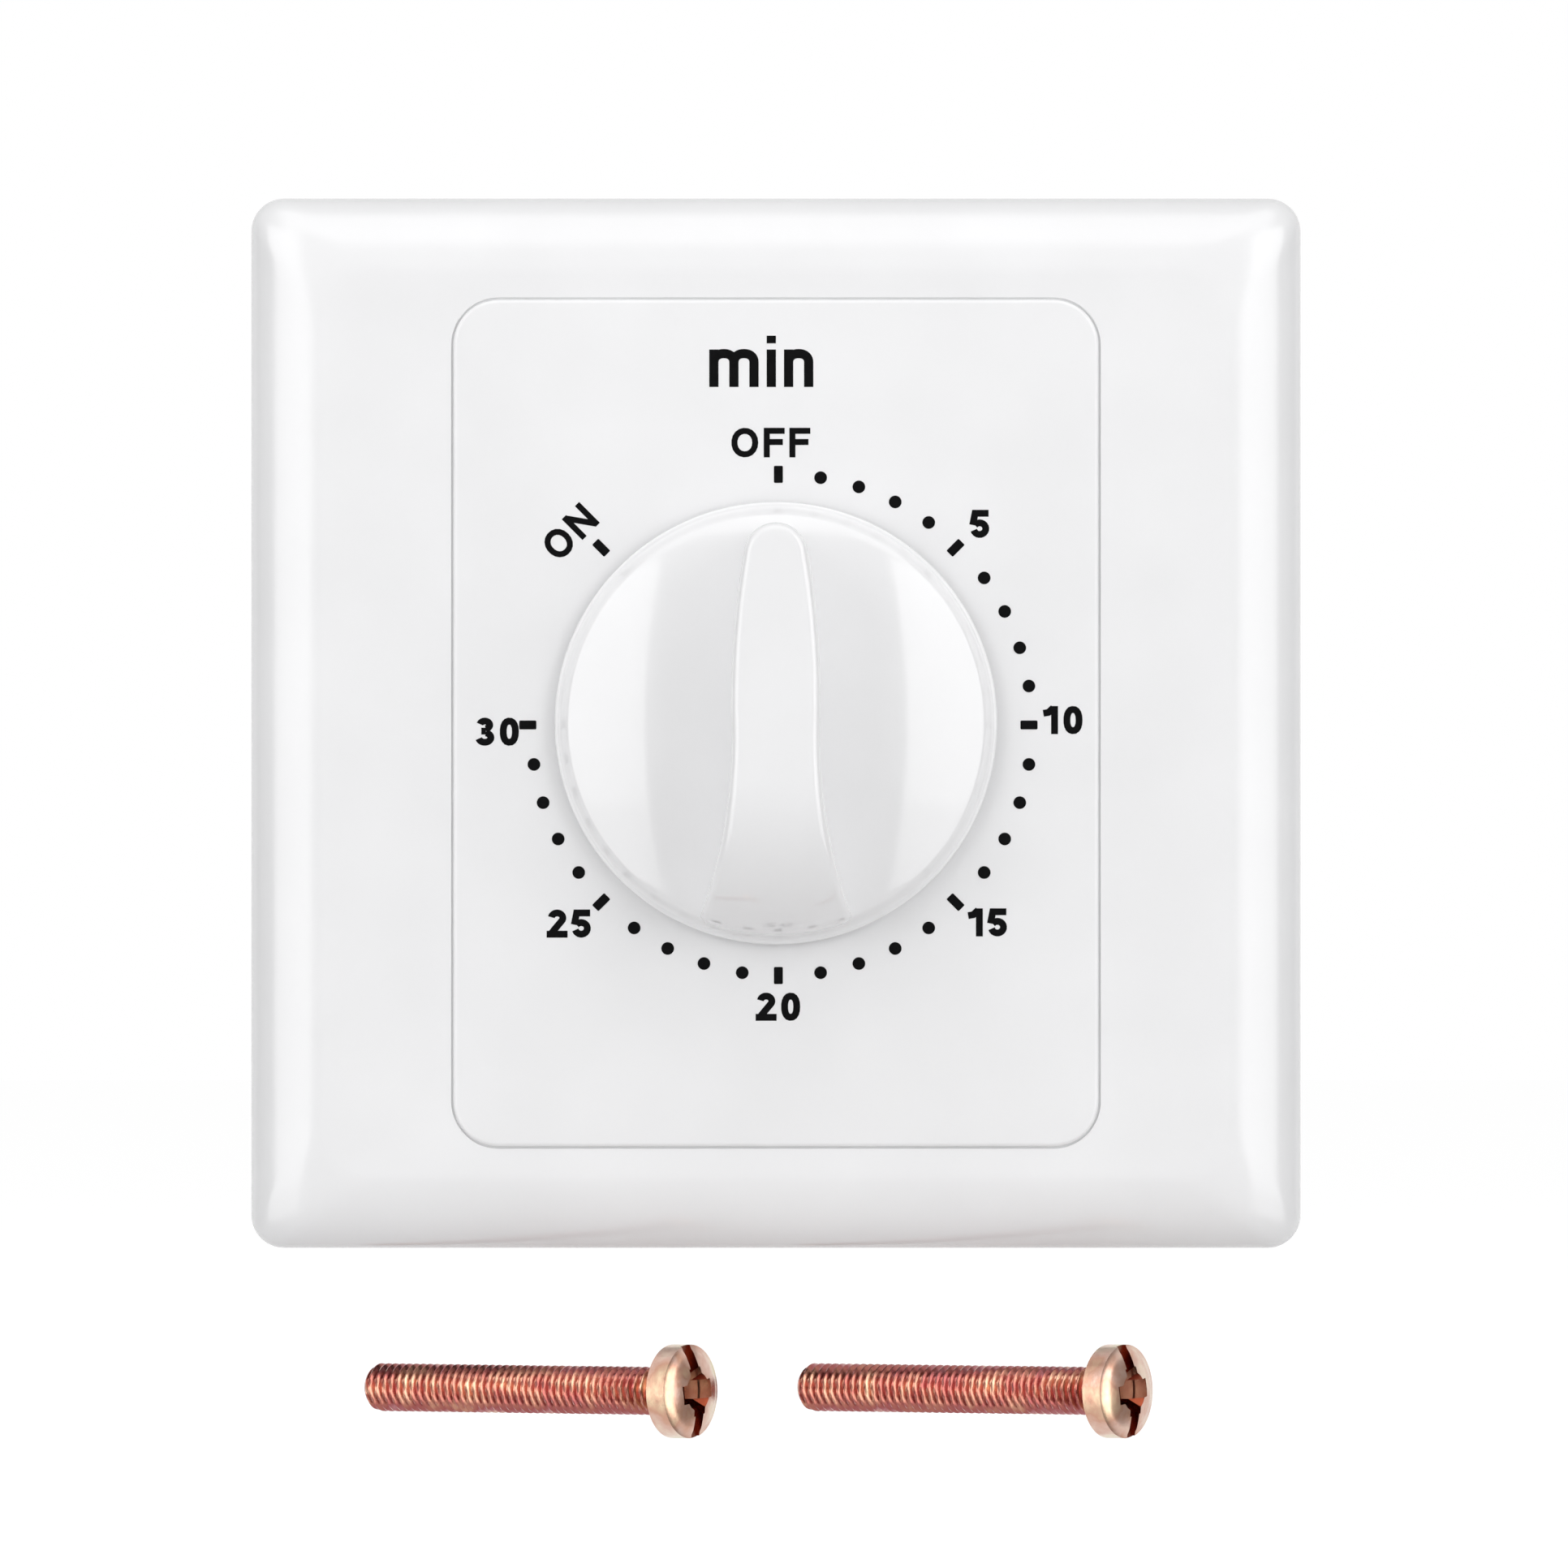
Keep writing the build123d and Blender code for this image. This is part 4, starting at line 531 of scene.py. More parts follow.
def knob():
    # The dome runs into the lip by a soft double curve that leaves it at the dome's own slope
    rim, width = DOME_RADIUS - 0.45, 0.82
    profile = [(r, dome_level(r, 0)) for r in [rim * k / 36 for k in range(37)]]
    top, slope = profile[-1][1], (dome_level(rim, 0) - dome_level(rim - 0.1, 0)) / 0.1
    for k in range(1, 13):
        t = k / 12
        blend = 3 * t**2 - 2 * t**3
        level = (1 - blend) * top + (t**3 - 2 * t**2 + t) * slope * width + blend * LIP_TOP
        profile.append((rim + width * t, level))
    lip_edge, back_edge, shell, hub_back = 0.3, 0.12, 1.8, KNOB_BACK + 0.4
    for k in range(7):
        turn = math.radians(15 * k)
        out, up = lip_edge * math.sin(turn), lip_edge * math.cos(turn)
        profile.append((KNOB_RADIUS - lip_edge + out, LIP_TOP - lip_edge + up))
    profile += [(KNOB_RADIUS, KNOB_BACK + back_edge), (KNOB_RADIUS - back_edge, KNOB_BACK)]
    profile += [(KNOB_HOLLOW, KNOB_BACK), (KNOB_HOLLOW, 10.6)]
    profile += [(r, dome_level(r, 0) - shell) for r in (15.0, 13.0, 11.0, 9.0, 7.0, HUB_RADIUS)]
    profile += [(HUB_RADIUS, hub_back), (BORE_RADIUS, hub_back), (BORE_RADIUS, BORE_END), (0, BORE_END)]
    shells = [turned_shell(profile, 240), grip_shell()]
    # Six ribs run from the hub to the wall behind the dome
    for k in range(6):
        turn = Matrix.Rotation(math.radians(30 + 60 * k), 3, "Y")
        vertices, faces = box_shell((5.0, KNOB_BACK + 0.8, -0.5), (15.8, 12.2, 0.5))
        spun = [turn @ Vector((x, -level, z)) for x, level, z in vertices]
        shells.append(([(v.x, -v.y, v.z) for v in spun], faces))
    return settle(piece_from("timer_knob", shells, knob_urea), "dial", "knob_white", "knob")


# ---- Dial print: minute dots and ticks grown by a node tree, figures and words drawn in strokes
def new_tree(name, sizes):
    """A geometry tree with one geometry output and named size inputs in metres, degrees or whole numbers."""
    tree = bpy.data.node_groups.new(name, "GeometryNodeTree")
    for label, value in sizes.items():
        kind = "NodeSocketInt" if isinstance(value, int) else "NodeSocketFloat"
        tree.interface.new_socket(name=label, in_out="INPUT", socket_type=kind).default_value = value
    tree.interface.new_socket(name="Geometry", in_out="OUTPUT", socket_type="NodeSocketGeometry")
    return tree, tree.nodes.new("NodeGroupInput").outputs


def grown(name, tree, sizes):
    """A plain mesh object that a geometry tree makes from the sizes given."""
    piece = bpy.data.objects.new(name, bpy.data.meshes.new(name))
    bpy.context.scene.collection.objects.link(piece)
    modifier = piece.modifiers.new("grow", "NODES")
    modifier.node_group = tree
    for item in tree.interface.items_tree:
        if item.in_out == "INPUT" and item.name in sizes:
            modifier[item.identifier] = sizes[item.name]
    return flatten(piece)


def dial_mark_tree(material):
    """Marks of one size set round the dial; the first and every so many after it are left out."""
    tree, size = new_tree("dial_marks", {
        "Marks": 30, "First bearing": 0.0, "Step": 9.0, "Left out every": 5, "Dial radius": DIAL_RADIUS * MM,
        "Width": 0.001, "Length": 0.001, "Corner": 0.0005, "Thickness": MARK_RISE * MM,
        "Level": PANEL_LEVEL * MM, "Shift right": 0.00045, "Shift up": -0.00017,
    })
    points = add(tree, "GeometryNodePoints", None, {"Count": size["Marks"]})
    index = add(tree, "GeometryNodeInputIndex").outputs[0]
    steps = {0: index, 1: size["Step"], 2: size["First bearing"]}
    degrees = add(tree, MATH, {"operation": "MULTIPLY_ADD"}, steps).outputs[0]
    bearing = add(tree, MATH, {"operation": "RADIANS"}, {0: degrees}).outputs[0]
    across = add(tree, MATH, {"operation": "SINE"}, {0: bearing}).outputs[0]
    up = add(tree, MATH, {"operation": "COSINE"}, {0: bearing}).outputs[0]
    ray = add(tree, COMBINE, None, {"X": across, "Z": up}).outputs[0]
    out = add(tree, VECTOR_MATH, {"operation": "SCALE"}, {0: ray, "Scale": size["Dial radius"]}).outputs[0]
    back = add(tree, MATH, {"operation": "MULTIPLY"}, {0: size["Level"], 1: -1.0}).outputs[0]
    shift = {"X": size["Shift right"], "Y": back, "Z": size["Shift up"]}
    front = add(tree, COMBINE, None, shift).outputs[0]
    place = add(tree, VECTOR_MATH, {"operation": "ADD"}, {0: out, 1: front}).outputs[0]
    placed = add(tree, "GeometryNodeSetPosition", None, {"Geometry": points.outputs[0], "Position": place})
    sides = {"Width": size["Width"], "Height": size["Length"]}
    bar = add(tree, "GeometryNodeCurvePrimitiveQuadrilateral", None, sides)
    soft = add(
        tree, "GeometryNodeFilletCurve", {"mode": "POLY"},
        {"Curve": bar.outputs[0], "Radius": size["Corner"], "Limit Radius": True, 1: 8},
    )
    face = add(tree, "GeometryNodeFillCurve", None, {"Curve": soft.outputs[0]}).outputs[0]
    layer = {"Mesh": face, "Offset Scale": size["Thickness"]}
    raised = add(tree, "GeometryNodeExtrudeMesh", {"mode": "FACES"}, layer)
    under = add(tree, "GeometryNodeFlipFaces", None, {"Mesh": face}).outputs[0]
    mark = add(tree, "GeometryNodeJoinGeometry", None, {0: raised.outputs[0]})
    tree.links.new(under, mark.inputs[0])
    rest = add(tree, MATH, {"operation": "MODULO"}, {0: index, 1: size["Left out every"]}).outputs[0]
    kept = add(tree, MATH, {"operation": "GREATER_THAN"}, {0: rest, 1: 0.5}).outputs[0]
    tilt = add(tree, COMBINE, None, {"X": math.pi / 2, "Y": bearing}).outputs[0]
    turn = add(tree, "FunctionNodeEulerToRotation", None, {0: tilt}).outputs[0]
    marks = add(
        tree, "GeometryNodeInstanceOnPoints", None,
        {"Points": placed.outputs[0], "Selection": kept, "Instance": mark.outputs[0], "Rotation": turn},
    )
    real = add(tree, "GeometryNodeRealizeInstances", None, {0: marks.outputs[0]})
    done = add(tree, "GeometryNodeSetMaterial", None, {"Geometry": real.outputs[0], "Material": material})
    add(tree, "NodeGroupOutput", None, {0: done.outputs[0]})
    return tree


def bow(x, y, reach, rise, start, end, squareness=1.0):
    """Points of an oval arc between two angles; below 1 the squareness pushes it towards its corners."""
    points = []
    for k in range(19):
        turn = math.radians(start + (end - start) * k / 18)
        across, up = math.cos(turn), math.sin(turn)
        points.append((
            x + reach * math.copysign(abs(across) ** squareness, across),
            y + rise * math.copysign(abs(up) ** squareness, up),
        ))
    return points


def arch(left, right, top, half):
    """A stem's shoulder: up from its side, over, and down to the line."""
    middle, reach = (left + right) / 2, (right - left) / 2
    return bow(middle, top - half - reach, reach, reach, 180, 0, 0.9) + [(right, 0)]


def glyph(sign, half):
    """A sign's strokes as (points, closed), 1 high and twice half wide each, and the sign's own width."""
    if sign == "0":
        return [(bow(0.28, 0.5, 0.28 - half, 0.5 - half, 0, 342, 0.86), True)], 0.56
    if sign == "1":
        flag = [(0.02, 0.74), (0.15, 0.77), (0.28, 0.94)]
        return [([(0.31, 0), (0.31, 1)], False), (flag, False)], 0.31 + half
    if sign == "2":
        sweep = bow(0.28, 0.70, 0.27 - half, 0.30 - half, 172, -28) + [(0.2, 0.27), (0.12, half)]
        return [(sweep, False), ([(0.01, half), (0.55, half)], False)], 0.56
    if sign == "3":
        upper = bow(0.27, 0.74, 0.25 - half, 0.26 - half, 168, -80)
        lower = bow(0.27, 0.29, 0.28 - half, 0.29 - half, 80, -168)
        return [(upper, False), (lower, False), ([(0.18, 0.52), (0.3, 0.52)], False)], 0.55
    if sign == "5":
        stem = [(0.5, 1 - half), (0.15, 1 - half), (0.09, 0.46)]
        return [(stem, False), (bow(0.27, 0.33, 0.28 - half, 0.33 - half, 142, -165), False)], 0.56
    if sign == "O":
        return [(bow(0.38, 0.5, 0.38 - half, 0.5 - half, 0, 342, 0.95), True)], 0.76
    if sign == "F":
        bars = [([(half, 1 - half), (0.58, 1 - half)], False), ([(half, 0.52), (0.53, 0.52)], False)]
        return [([(half, 0), (half, 1)], False)] + bars, 0.58
    if sign == "N":
        right, slope = 0.7 - half, [(half, 1 - half / 2), (0.7 - half, half / 2)]
        return [([(half, 0), (half, 1)], False), ([(right, 0), (right, 1)], False), (slope, False)], 0.7
    if sign == "m":
        arches = [(arch(half, 0.43, 0.74, half), False), (arch(0.43, 0.86 - half, 0.74, half), False)]
        return [([(half, 0), (half, 0.73)], False)] + arches, 0.86
    if sign == "n":
        return [([(half, 0), (half, 0.73)], False), (arch(half, 0.52 - half, 0.74, half), False)], 0.52
    return [([(half, 0), (half, 0.73)], False), ([(half, 0.85), (half, 1)], False)], 2 * half


def ribbon(points, closed, half, place, rise):
    """A thin layer of ink along a stroke; place turns its (x, y) into the panel's x and z."""
    rings, count = [], len(points)
    low, high = PANEL_LEVEL - 0.01, PANEL_LEVEL + rise
    for i, (x, y) in enumerate(points):
        before = points[i - 1] if closed or i else points[0]
        after = points[(i + 1) % count] if closed or i < count - 1 else points[-1]
        came, goes = Vector((x - before[0], y - before[1])), Vector((after[0] - x, after[1] - y))
        came = came.normalized() if came.length else goes.normalized()
        goes = goes.normalized() if goes.length else came
        along = (came + goes).normalized()
        reach = half / max(along.dot(came), 0.5)
        x0, z0 = place(x - along.y * reach, y + along.x * reach)
        x1, z1 = place(x + along.y * reach, y - along.x * reach)
        rings.append([(x0, low, z0), (x0, high, z0), (x1, high, z1), (x1, low, z1)])
    return rings_shell(rings, closed)


def lettering(text, height, centre, weight, stretch, turn=0.0, spacing=0.13):
    """A figure or word centred on a place of the panel; weight and spacing are shares of its height."""
    signs = [glyph(sign, weight / 2) for sign in text]
    wide = sum(width * stretch for _, width in signs) + spacing * (len(text) - 1)
    angle = math.radians(turn)
    shells = []
    start = -wide / 2
    for strokes, width in signs:
        def place(x, y, start=start):
            across, up = (start + x) * height, (y - 0.5) * height
            return (
                centre[0] + across * math.cos(angle) - up * math.sin(angle),
                centre[1] + across * math.sin(angle) + up * math.cos(angle),
            )
        # Each stroke lies a little over the one before, so that no two faces share a level where they cross
        for i, (points, closed) in enumerate(strokes):
            drawn = [(x * stretch, y) for x, y in points]
            shells.append(ribbon(drawn, closed, weight / 2, place, INK_RISE + INK_STEP * i))
        start += width * stretch + spacing
    return shells


def dial_print():
    marks = dial_mark_tree(printing_ink)
    dots = grown("dots", marks, {
        "Marks": 30, "First bearing": 0.0, "Step": 9.0, "Left out every": 5,
        "Width": 0.00104, "Length": 0.00104, "Corner": 0.00052,
    })
    # Only the first tick, before ON, is left out
    ticks = grown("ticks", marks, {
        "Marks": 9, "First bearing": -90.0, "Step": 45.0, "Left out every": 100,
        "Width": 0.00073, "Length": 0.0014, "Corner": 0.0001, "Shift right": 0.0002, "Shift up": -0.00015,
    })
    figures = {
        "5": (16.7, 16.3), "10": (23.5, 0.25), "15": (17.35, -16.3),
        "20": (0.2, -23.2), "25": (-16.9, -16.4), "30": (-22.8, -0.7),
    }
    shells = []
    for figure, centre in figures.items():
        shells += lettering(figure, 2.3, centre, 0.245, 1.38, 0.0, 0.1)
    shells += lettering("OFF", 2.42, (-0.45, 22.95), 0.205, 1.27)
    shells += lettering("ON", 2.4, (-16.9, 15.6), 0.205, 1.28, 45.0)
    shells += lettering("min", 4.2, (-1.2, 29.6), 0.18, 1.15)
    signs = piece_from("signs", shells, printing_ink)
    built = bmesh.new()
    for piece in (dots, ticks, signs):
        built.from_mesh(piece.data)
        bpy.data.objects.remove(piece)
    return settle(object_of("dial_print", built, printing_ink), "base", "panel_white")


# ---- Screws: rolled thread from a node tree, heads turned and cut
def thread_tree():
    """A rolled thread up +Z from its length, radius, depth and pitch, with a pointed far end."""
    tree, size = new_tree("rolled_thread", {
        "Length": 0.03, "Radius": 0.002, "Depth": 0.0004, "Pitch": 0.0007, "Rings": 400, "Point": 0.0006,
    })
    sheet = {"Size X": 1.0, "Size Y": 1.0, "Vertices X": 33, "Vertices Y": size["Rings"]}
    grid = add(tree, "GeometryNodeMeshGrid", None, sheet)
    spot = add(tree, "GeometryNodeInputPosition").outputs[0]
    flat = add(tree, "ShaderNodeSeparateXYZ", None, {0: spot}).outputs
    round_share = add(tree, MATH, {"operation": "ADD"}, {0: flat["X"], 1: 0.5}).outputs[0]
    long_share = add(tree, MATH, {"operation": "ADD"}, {0: flat["Y"], 1: 0.5}).outputs[0]
    height = add(tree, MATH, {"operation": "MULTIPLY"}, {0: long_share, 1: size["Length"]}).outputs[0]
    turns = add(tree, MATH, {"operation": "DIVIDE"}, {0: height, 1: size["Pitch"]}).outputs[0]
    phase = add(tree, MATH, {"operation": "ADD"}, {0: turns, 1: round_share}).outputs[0]
    wave = add(tree, MATH, {"operation": "PINGPONG"}, {0: phase, 1: 0.5}).outputs[0]
    valley = add(
        tree, "ShaderNodeMapRange", None,
        {"Value": wave, "From Min": 0.08, "From Max": 0.42, "To Min": 0.0, "To Max": size["Depth"]},
    ).outputs["Result"]
    crest = add(tree, MATH, {"operation": "SUBTRACT"}, {0: size["Radius"], 1: valley}).outputs[0]
    ahead = add(tree, MATH, {"operation": "SUBTRACT"}, {0: size["Length"], 1: height}).outputs[0]
    core = add(tree, MATH, {"operation": "SUBTRACT"}, {0: size["Radius"], 1: size["Point"]}).outputs[0]
    cone = add(tree, MATH, {"operation": "ADD"}, {0: core, 1: ahead}).outputs[0]
    radius = add(tree, MATH, {"operation": "MINIMUM"}, {0: crest, 1: cone}).outputs[0]
    above = add(tree, MATH, {"operation": "GREATER_THAN"}, {0: long_share, 1: 0.0001}).outputs[0]
    below = add(tree, MATH, {"operation": "LESS_THAN"}, {0: long_share, 1: 0.9999}).outputs[0]
    open_part = add(tree, MATH, {"operation": "MULTIPLY"}, {0: above, 1: below}).outputs[0]
    reach = add(tree, MATH, {"operation": "MULTIPLY"}, {0: radius, 1: open_part}).outputs[0]
    angle = add(tree, MATH, {"operation": "MULTIPLY"}, {0: round_share, 1: -2 * math.pi}).outputs[0]
    cosine = add(tree, MATH, {"operation": "COSINE"}, {0: angle}).outputs[0]
    sine = add(tree, MATH, {"operation": "SINE"}, {0: angle}).outputs[0]
    x = add(tree, MATH, {"operation": "MULTIPLY"}, {0: reach, 1: cosine}).outputs[0]
    y = add(tree, MATH, {"operation": "MULTIPLY"}, {0: reach, 1: sine}).outputs[0]
    place = add(tree, COMBINE, None, {"X": x, "Y": y, "Z": height}).outputs[0]
    rolled = add(tree, "GeometryNodeSetPosition", None, {"Geometry": grid.outputs[0], "Position": place})
    sewn = add(tree, "GeometryNodeMergeByDistance", None, {"Geometry": rolled.outputs[0], "Distance": 1e-7})
    real = add(tree, "GeometryNodeRealizeInstances", None, {0: sewn.outputs[0]})
    done = add(tree, "GeometryNodeSetMaterial", None, {"Geometry": real.outputs[0], "Material": zinc_screw})
    add(tree, "NodeGroupOutput", None, {0: done.outputs[0]})
    return tree


rolled_thread = thread_tree()


def screws(name, materials, seats, along, sizes, recess, tilt, tilt_step=0):
    """Screws with turned heads and rolled threads; seats are (x, level, z), and along is the shank's way.

    The materials are those of the head, recess and shank. The recess is turned by tilt, in degrees, and by
    tilt_step more on each further screw.
    """
    length, radius, pitch, head_radius, head_height, head_edge = sizes
    profile = [(0, 0), (head_radius - 0.15, 0), (head_radius, 0.12), (head_radius, head_edge)]
    rise = head_height - head_edge
    sphere = (head_radius**2 + rise**2) / (2 * rise)
    for k in range(1, 13):
        r = head_radius * (1 - k / 12)
        soft = 0.06 if k == 1 else 0
        profile.append((r, head_height - sphere + math.sqrt(sphere**2 - r * r) - soft))
    head = piece_from("head", [turned_shell(profile, 64)], materials[0])
    cutters = []
    deep = 0.6 * head_height
    if recess in ("slot", "both"):
        wide = 0.15 * head_radius
        slot = box_shell((-wide, deep, -2 * head_radius), (wide, 9, 2 * head_radius))
        cutters.append(piece_from("slot", [slot], materials[1]))
    if recess in ("cross", "both"):
        wing, floor, mouth = 0.2 * head_radius, 0.25 * head_height, head_height + 0.2
        funnel = [(0, floor - 0.1), (wing, floor), (0.46 * head_radius, mouth), (0, mouth)]
        cutters.append(piece_from("funnel", [turned_shell(funnel, 24)], materials[1]))
        for turn in (0, 90):
            vertices = []
            for level, reach in ((floor, 0.22 * head_radius), (head_height + 0.4, 0.62 * head_radius)):
                foot = ((-wing, -reach), (wing, -reach), (wing, reach), (-wing, reach))
                vertices += [(x, level, z) for x, z in foot]
            if turn:
                vertices = [(z, level, x) for x, level, z in vertices]
            faces = [(0, 1, 2, 3), (4, 5, 6, 7), (0, 1, 5, 4), (1, 2, 6, 5), (2, 3, 7, 6), (3, 0, 4, 7)]
            cutters.append(piece_from("cross", [(vertices, faces)], materials[1]))
    cut(head, cutters)
    shank = grown("shank", rolled_thread, {
        "Length": length * MM, "Radius": radius * MM, "Depth": THREAD_DEPTH * pitch * MM, "Pitch": pitch * MM,
        "Rings": max(int(length / pitch * THREAD_RINGS), 30), "Point": THREAD_POINT * radius * MM,
    })
    down = Vector(along).normalized()
    # The head's outside faces -Y, and the shank's end +Z, before both are turned along the screw
    lie = Vector((0, 1, 0)).rotation_difference(down).to_matrix().to_4x4()
    point = Matrix.Rotation(-math.pi / 2, 4, "X")
    built = bmesh.new()
    coats = list(dict.fromkeys(materials))
    for i, (x, level, z) in enumerate(seats):
        seat = Matrix.Translation((x * MM, -level * MM, z * MM))
        spin = Matrix.Rotation(math.radians(tilt + i * tilt_step), 4, "Y")
        for mesh, turn in ((shank.data, point), (head.data, spin)):
            copy = mesh.copy()
            copy.transform(seat @ lie @ turn)
            if mesh == shank.data:
                copy.polygons.foreach_set("material_index", [len(coats) - 1] * len(copy.polygons))
            built.from_mesh(copy)
            bpy.data.meshes.remove(copy)
    for piece in (head, shank):
        bpy.data.objects.remove(piece)
    made = object_of(name, built, coats[0], 30)
    for coat in coats[1:]:
        made.data.materials.append(coat)
    return made


cover_frame()
dial_panel()
knob()
dial_print()

# Each row of sizes is the thread's length, radius and pitch, then the head's radius, height and edge
lean = math.radians(55)
loose = [(9.3 + side * 17.8, 12.0, -54.6) for side in (-1, 1)]
# The recess material is painted shade, darker than the head's film
box_screw_pair = screws(
    "box_screw_pair", (pale_zinc, recess_shade_zinc, yellow_zinc), loose, (-math.sin(lean), math.cos(lean), 0),
    (30, 1.98, 0.7, 3.83, 2.78, 1.85), "both", -10,
)
settle(box_screw_pair, "base", "yellow_zinc", "box_screws")
# The screws behind all point to the front
plain, forward = (zinc_screw,) * 3, (0, -1, 0)
corners = [(x, -23.0, z) for x, z in ((-16.5, 19.5), (16.5, 19.5), (-16.5, -19.5), (9.0, -19.5))]
long_screws = screws(
    "long_screws", plain, corners, forward, (21.0, 1.24, 0.5, 2.28, 1.58, 0.9), "cross", 15, 50
)
settle(long_screws, "base", "screw_steel", "housing_screws")
bosses = [(x, 1.4, z) for x, z in BOSS_PLACES]
panel_fixings = screws(
    "panel_fixings", plain, bosses, forward, (4.5, 1.1, 0.8, 2.38, 1.28, 0.75), "cross", 35, 65
)
settle(panel_fixings, "base", "screw_steel", "fixing_screws")
clamps = [(x, -18.4, -12.5) for x in (3.0, 15.0)]
clamp_screws = screws(
    "clamp_screws", plain, clamps, forward, (2.8, 1.68, 0.6, 2.68, 1.98, 1.3), "slot", 20, 55
)
settle(clamp_screws, "base", "screw_steel", "terminal_screws")


# ---- Every other solid keeps its shape and gets softened edges and its own material
def clear_of_cam(built):
    """Sets the sprung blade's nose back to the cam's rim, so that the turning cam never cuts the strip."""
    for vertex in built.verts:
        share = max(0.0, 1 - abs(vertex.co.z) / (NOSE_REACH * MM))
        vertex.co.x += NOSE_SETBACK * MM * share


def softened(node, body, material, slot, edge_mm):
    """A merged copy of a solid with a small bevel along its sharp edges."""
    built = bmesh.new()
    built.from_mesh(frame["nodes"][node].data)
    if node == "moving_blade":
        clear_of_cam(built)
    bmesh.ops.remove_doubles(built, verts=built.verts, dist=2e-7)
    bmesh.ops.dissolve_limit(built, angle_limit=math.radians(0.5), verts=built.verts, edges=built.edges)
    piece = object_of(node + "_made", built, material, 24)
    if edge_mm:
        bevel = piece.modifiers.new("soft_edges", "BEVEL")
        bevel.width = edge_mm * MM
        bevel.segments = 2
        bevel.limit_method = "ANGLE"
        bevel.angle_limit = math.radians(40)
        bevel.use_clamp_overlap = True
        flatten(piece, 40)
    return settle(piece, body, slot, node)


finishes = {
    "base_white": (grained_abs, 0.12), "plate_steel": (zinc_sheet, 0.06), "screw_steel": (zinc_screw, 0.0),
    "arbor_steel": (turned_steel, 0.0), "brass": (rolled_brass, 0.03), "spring_steel": (blued_steel, 0.0),
    "housing_grey": (filled_phenolic, 0.15), "cam_nylon": (natural_nylon, 0.1), "bronze": (bronze_strip, 0.0),
    "silver": (silver_contact, 0.05),
}
slot_of = {row["node"]: row["material_slot"] for row in frame["record"]["subparts"]}
made_here = {
    "outer_frame", "dial_panel", "knob", "box_screws", "housing_screws", "fixing_screws", "terminal_screws",
}
for body, nodes in frame["record"]["behaviour"]["bodies"].items():
    for node in nodes:
        if node not in made_here:
            material, edge_mm = finishes[slot_of[node]]
            softened(node, body, material, slot_of[node], edge_mm)


# ---- Floor, light and camera
floor_material, floor_tree = new_material("pale_floor")
floor_paint = add(floor_tree, "ShaderNodeBsdfDiffuse", None, {"Color": linear("#F2F2F2")}).outputs[0]
floor_glow = {"Color": (1, 1, 1, 1), "Strength": 1.36}
floor_white = add(floor_tree, "ShaderNodeEmission", None, floor_glow).outputs[0]
floor_rays = add(floor_tree, "ShaderNodeLightPath").outputs
# The camera sees white paper with a faint shadow; the part gets a little of that light from below
floor_share = add(
    floor_tree, MATH, {"operation": "MULTIPLY_ADD"}, {0: floor_rays["Is Camera Ray"], 1: 0.67, 2: 0.03}
).outputs[0]
floor_mix = {0: floor_share, 1: floor_paint, 2: floor_white}
floor_seen = add(floor_tree, "ShaderNodeMixShader", None, floor_mix).outputs[0]
# Mirror and glass rays pass through to the white of the room below, as on a lit table
floor_clear = add(floor_tree, "ShaderNodeBsdfTransparent").outputs[0]
floor_mirrored = add(
    floor_tree, MATH, {"operation": "MAXIMUM"},
    {0: floor_rays["Is Glossy Ray"], 1: floor_rays["Is Transmission Ray"]},
).outputs[0]
floor_parts = {0: floor_mirrored, 1: floor_seen, 2: floor_clear}
floor_all = add(floor_tree, "ShaderNodeMixShader", None, floor_parts).outputs[0]
add(floor_tree, "ShaderNodeOutputMaterial", None, {"Surface": floor_all})
floor_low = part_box("box_screws")[0].z - 0.0001
floor_mesh = bpy.data.meshes.new("floor")
floor_corners = [(x, y, floor_low) for x, y in ((-3, -1.4), (3, -1.4), (3, 3), (-3, 3))]
floor_mesh.from_pydata(floor_corners, [], [(0, 1, 2, 3)])
floor_mesh.materials.append(floor_material)
floor = bpy.data.objects.new("floor", floor_mesh)
bpy.context.scene.collection.objects.link(floor)

world = bpy.data.worlds.new("studio")
bpy.context.scene.world = world
world.use_nodes = True
sky_tree = world.node_tree
sky_tree.nodes.clear()
rays = add(sky_tree, "ShaderNodeLightPath").outputs
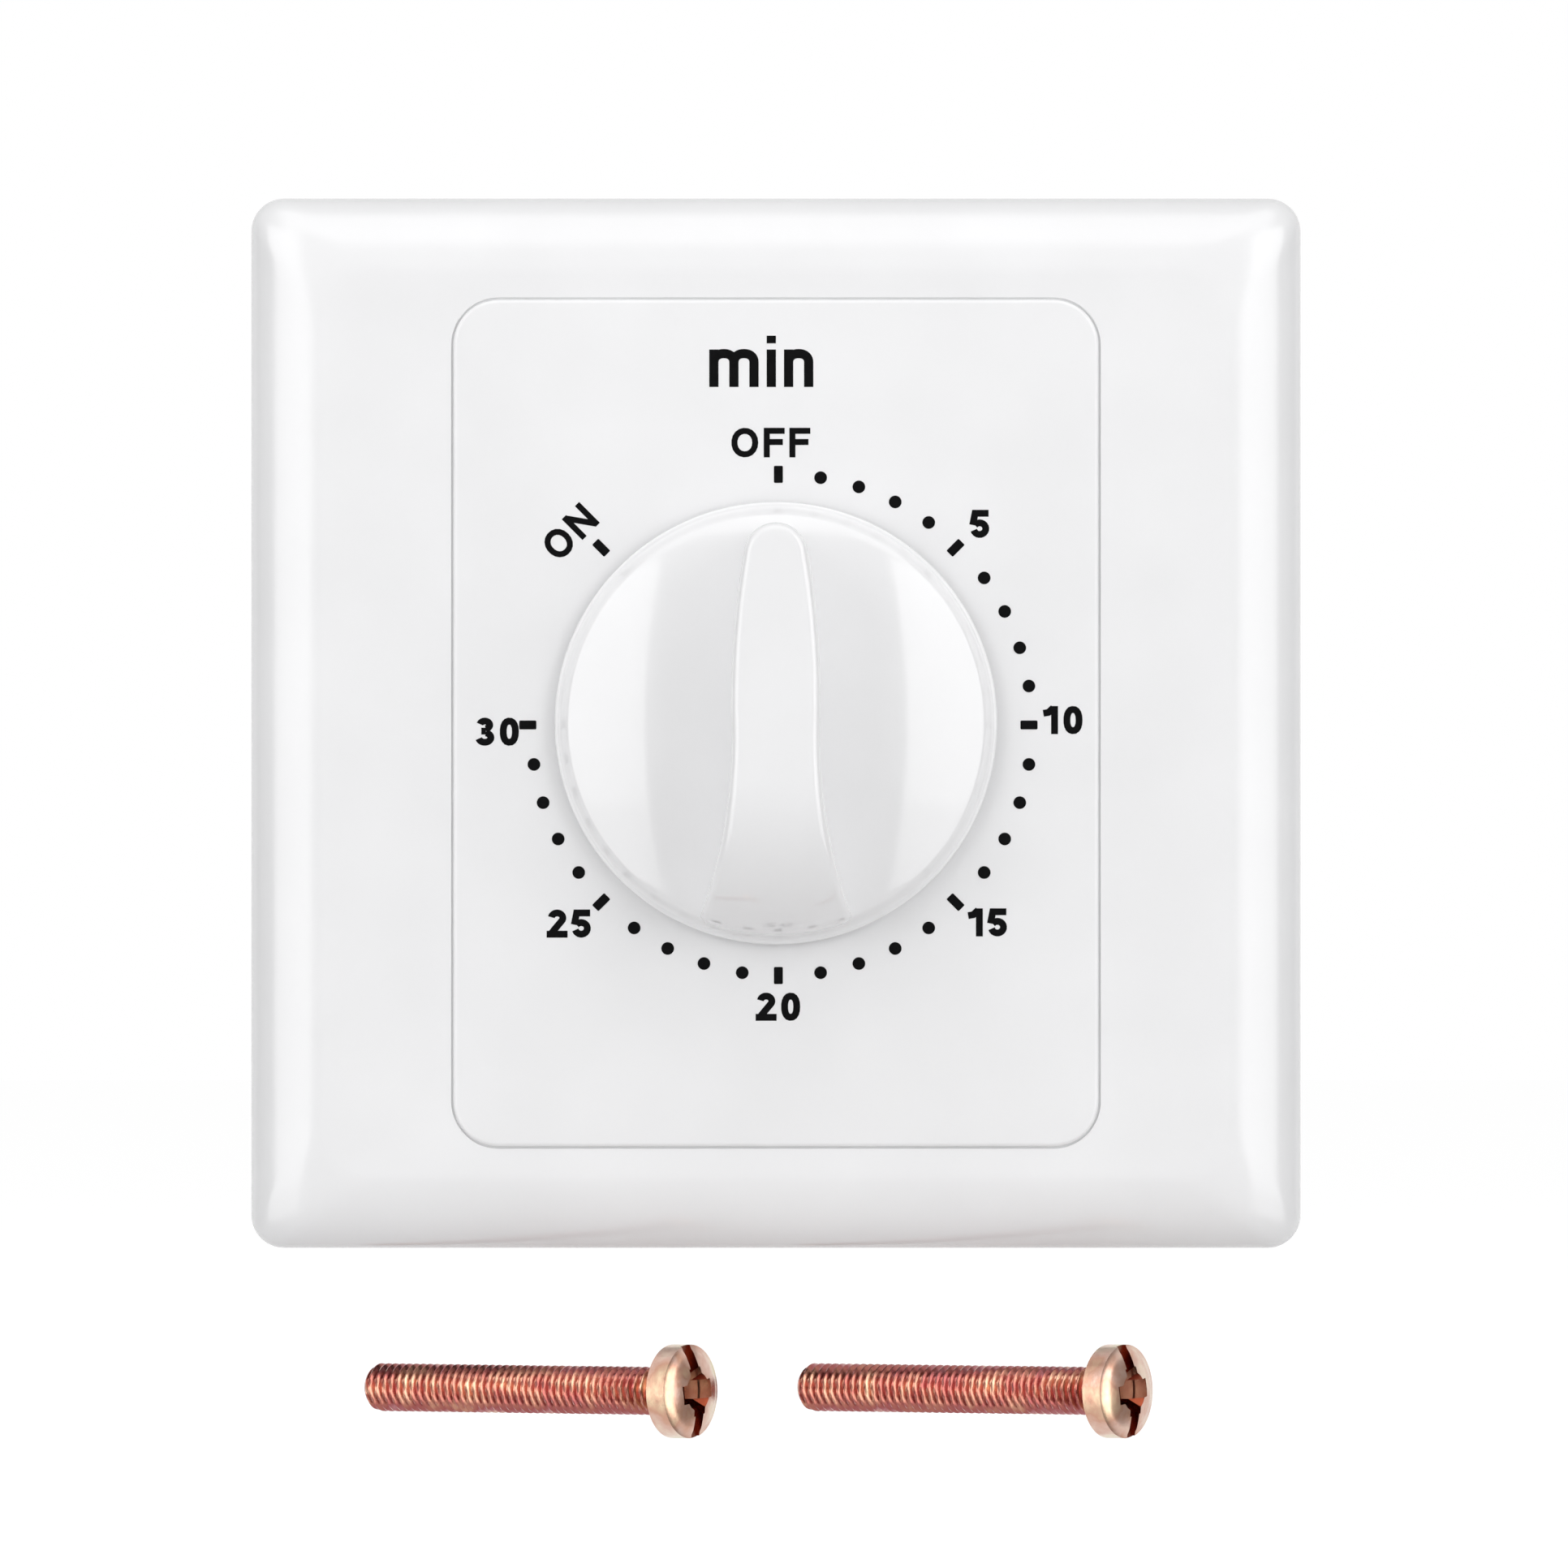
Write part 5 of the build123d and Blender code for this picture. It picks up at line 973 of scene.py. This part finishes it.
# In mirrors the far left and right of the room are dim, which gives metal its contrast
way = add(sky_tree, "ShaderNodeTexCoord").outputs["Generated"]
sideways = add(sky_tree, "ShaderNodeSeparateXYZ", None, {0: way}).outputs["X"]
aside = add(sky_tree, MATH, {"operation": "ABSOLUTE"}, {0: sideways}).outputs[0]
dimming = {"Value": aside, "From Min": 0.84, "From Max": 0.92, "To Min": 1.0, "To Max": 0.35}
room = add(sky_tree, "ShaderNodeMapRange", None, dimming).outputs["Result"]
mirrored = add(sky_tree, MATH, {"operation": "MULTIPLY"}, {0: rays["Is Glossy Ray"], 1: room}).outputs[0]
seen = add(
    sky_tree, MATH, {"operation": "MAXIMUM"}, {0: rays["Is Camera Ray"], 1: rays["Is Transmission Ray"]}
).outputs[0]
shown = add(sky_tree, MATH, {"operation": "MAXIMUM"}, {0: seen, 1: mirrored}).outputs[0]
# The room's fill is faint on the part, which the boxes light
level = add(sky_tree, MATH, {"operation": "MAXIMUM"}, {0: shown, 1: 0.14}).outputs[0]
sky = add(sky_tree, "ShaderNodeBackground", None, {"Color": (1, 1, 1, 1), "Strength": level})
add(sky_tree, "ShaderNodeOutputWorld", None, {"Surface": sky.outputs[0]})


def softbox(name, place, aim, size, radiance):
    """A rectangular softbox of a given brightness, where 1 is paper white."""
    light = bpy.data.lights.new(name, "AREA")
    light.shape = "RECTANGLE"
    light.size, light.size_y = size
    light.energy = radiance * math.pi * size[0] * size[1]
    lamp = bpy.data.objects.new(name, light)
    lamp.location = place
    lamp.rotation_euler = (Vector(aim) - Vector(place)).to_track_quat("-Z", "Y").to_euler()
    bpy.context.scene.collection.objects.link(lamp)


# Tall boxes 49 degrees to each side draw the bright bands on the edge and dome; low ones carry them down
box_x, box_y, box_width = 0.6415, -0.5577, 0.653
for side in (-1, 1):
    softbox("side_box", (side * box_x, box_y, 0.18), (0, 0, 0.18), (box_width, 0.88), 2.36 + side * 0.06)
    softbox("low_box", (side * box_x, box_y, -0.46), (0, 0, -0.46), (box_width, 0.4), 1.7)
softbox("top_box", (0, -0.35, 0.68), (0, 0, 0), (1.1, 0.6), 1.35)

# Square on, through a long lens, a hair to the right of the plate's centre and below it
camera_data = bpy.data.cameras.new("camera")
camera_data.sensor_width = 36
camera_data.lens = 699.0
camera_data.clip_end = 20
camera = bpy.data.objects.new("camera", camera_data)
camera.location = (0.00066, -2.5, -0.00498)
camera.rotation_euler = (math.pi / 2, 0, 0)
bpy.context.scene.collection.objects.link(camera)
bpy.context.scene.camera = camera
bpy.context.scene.view_settings.view_transform = "Standard"
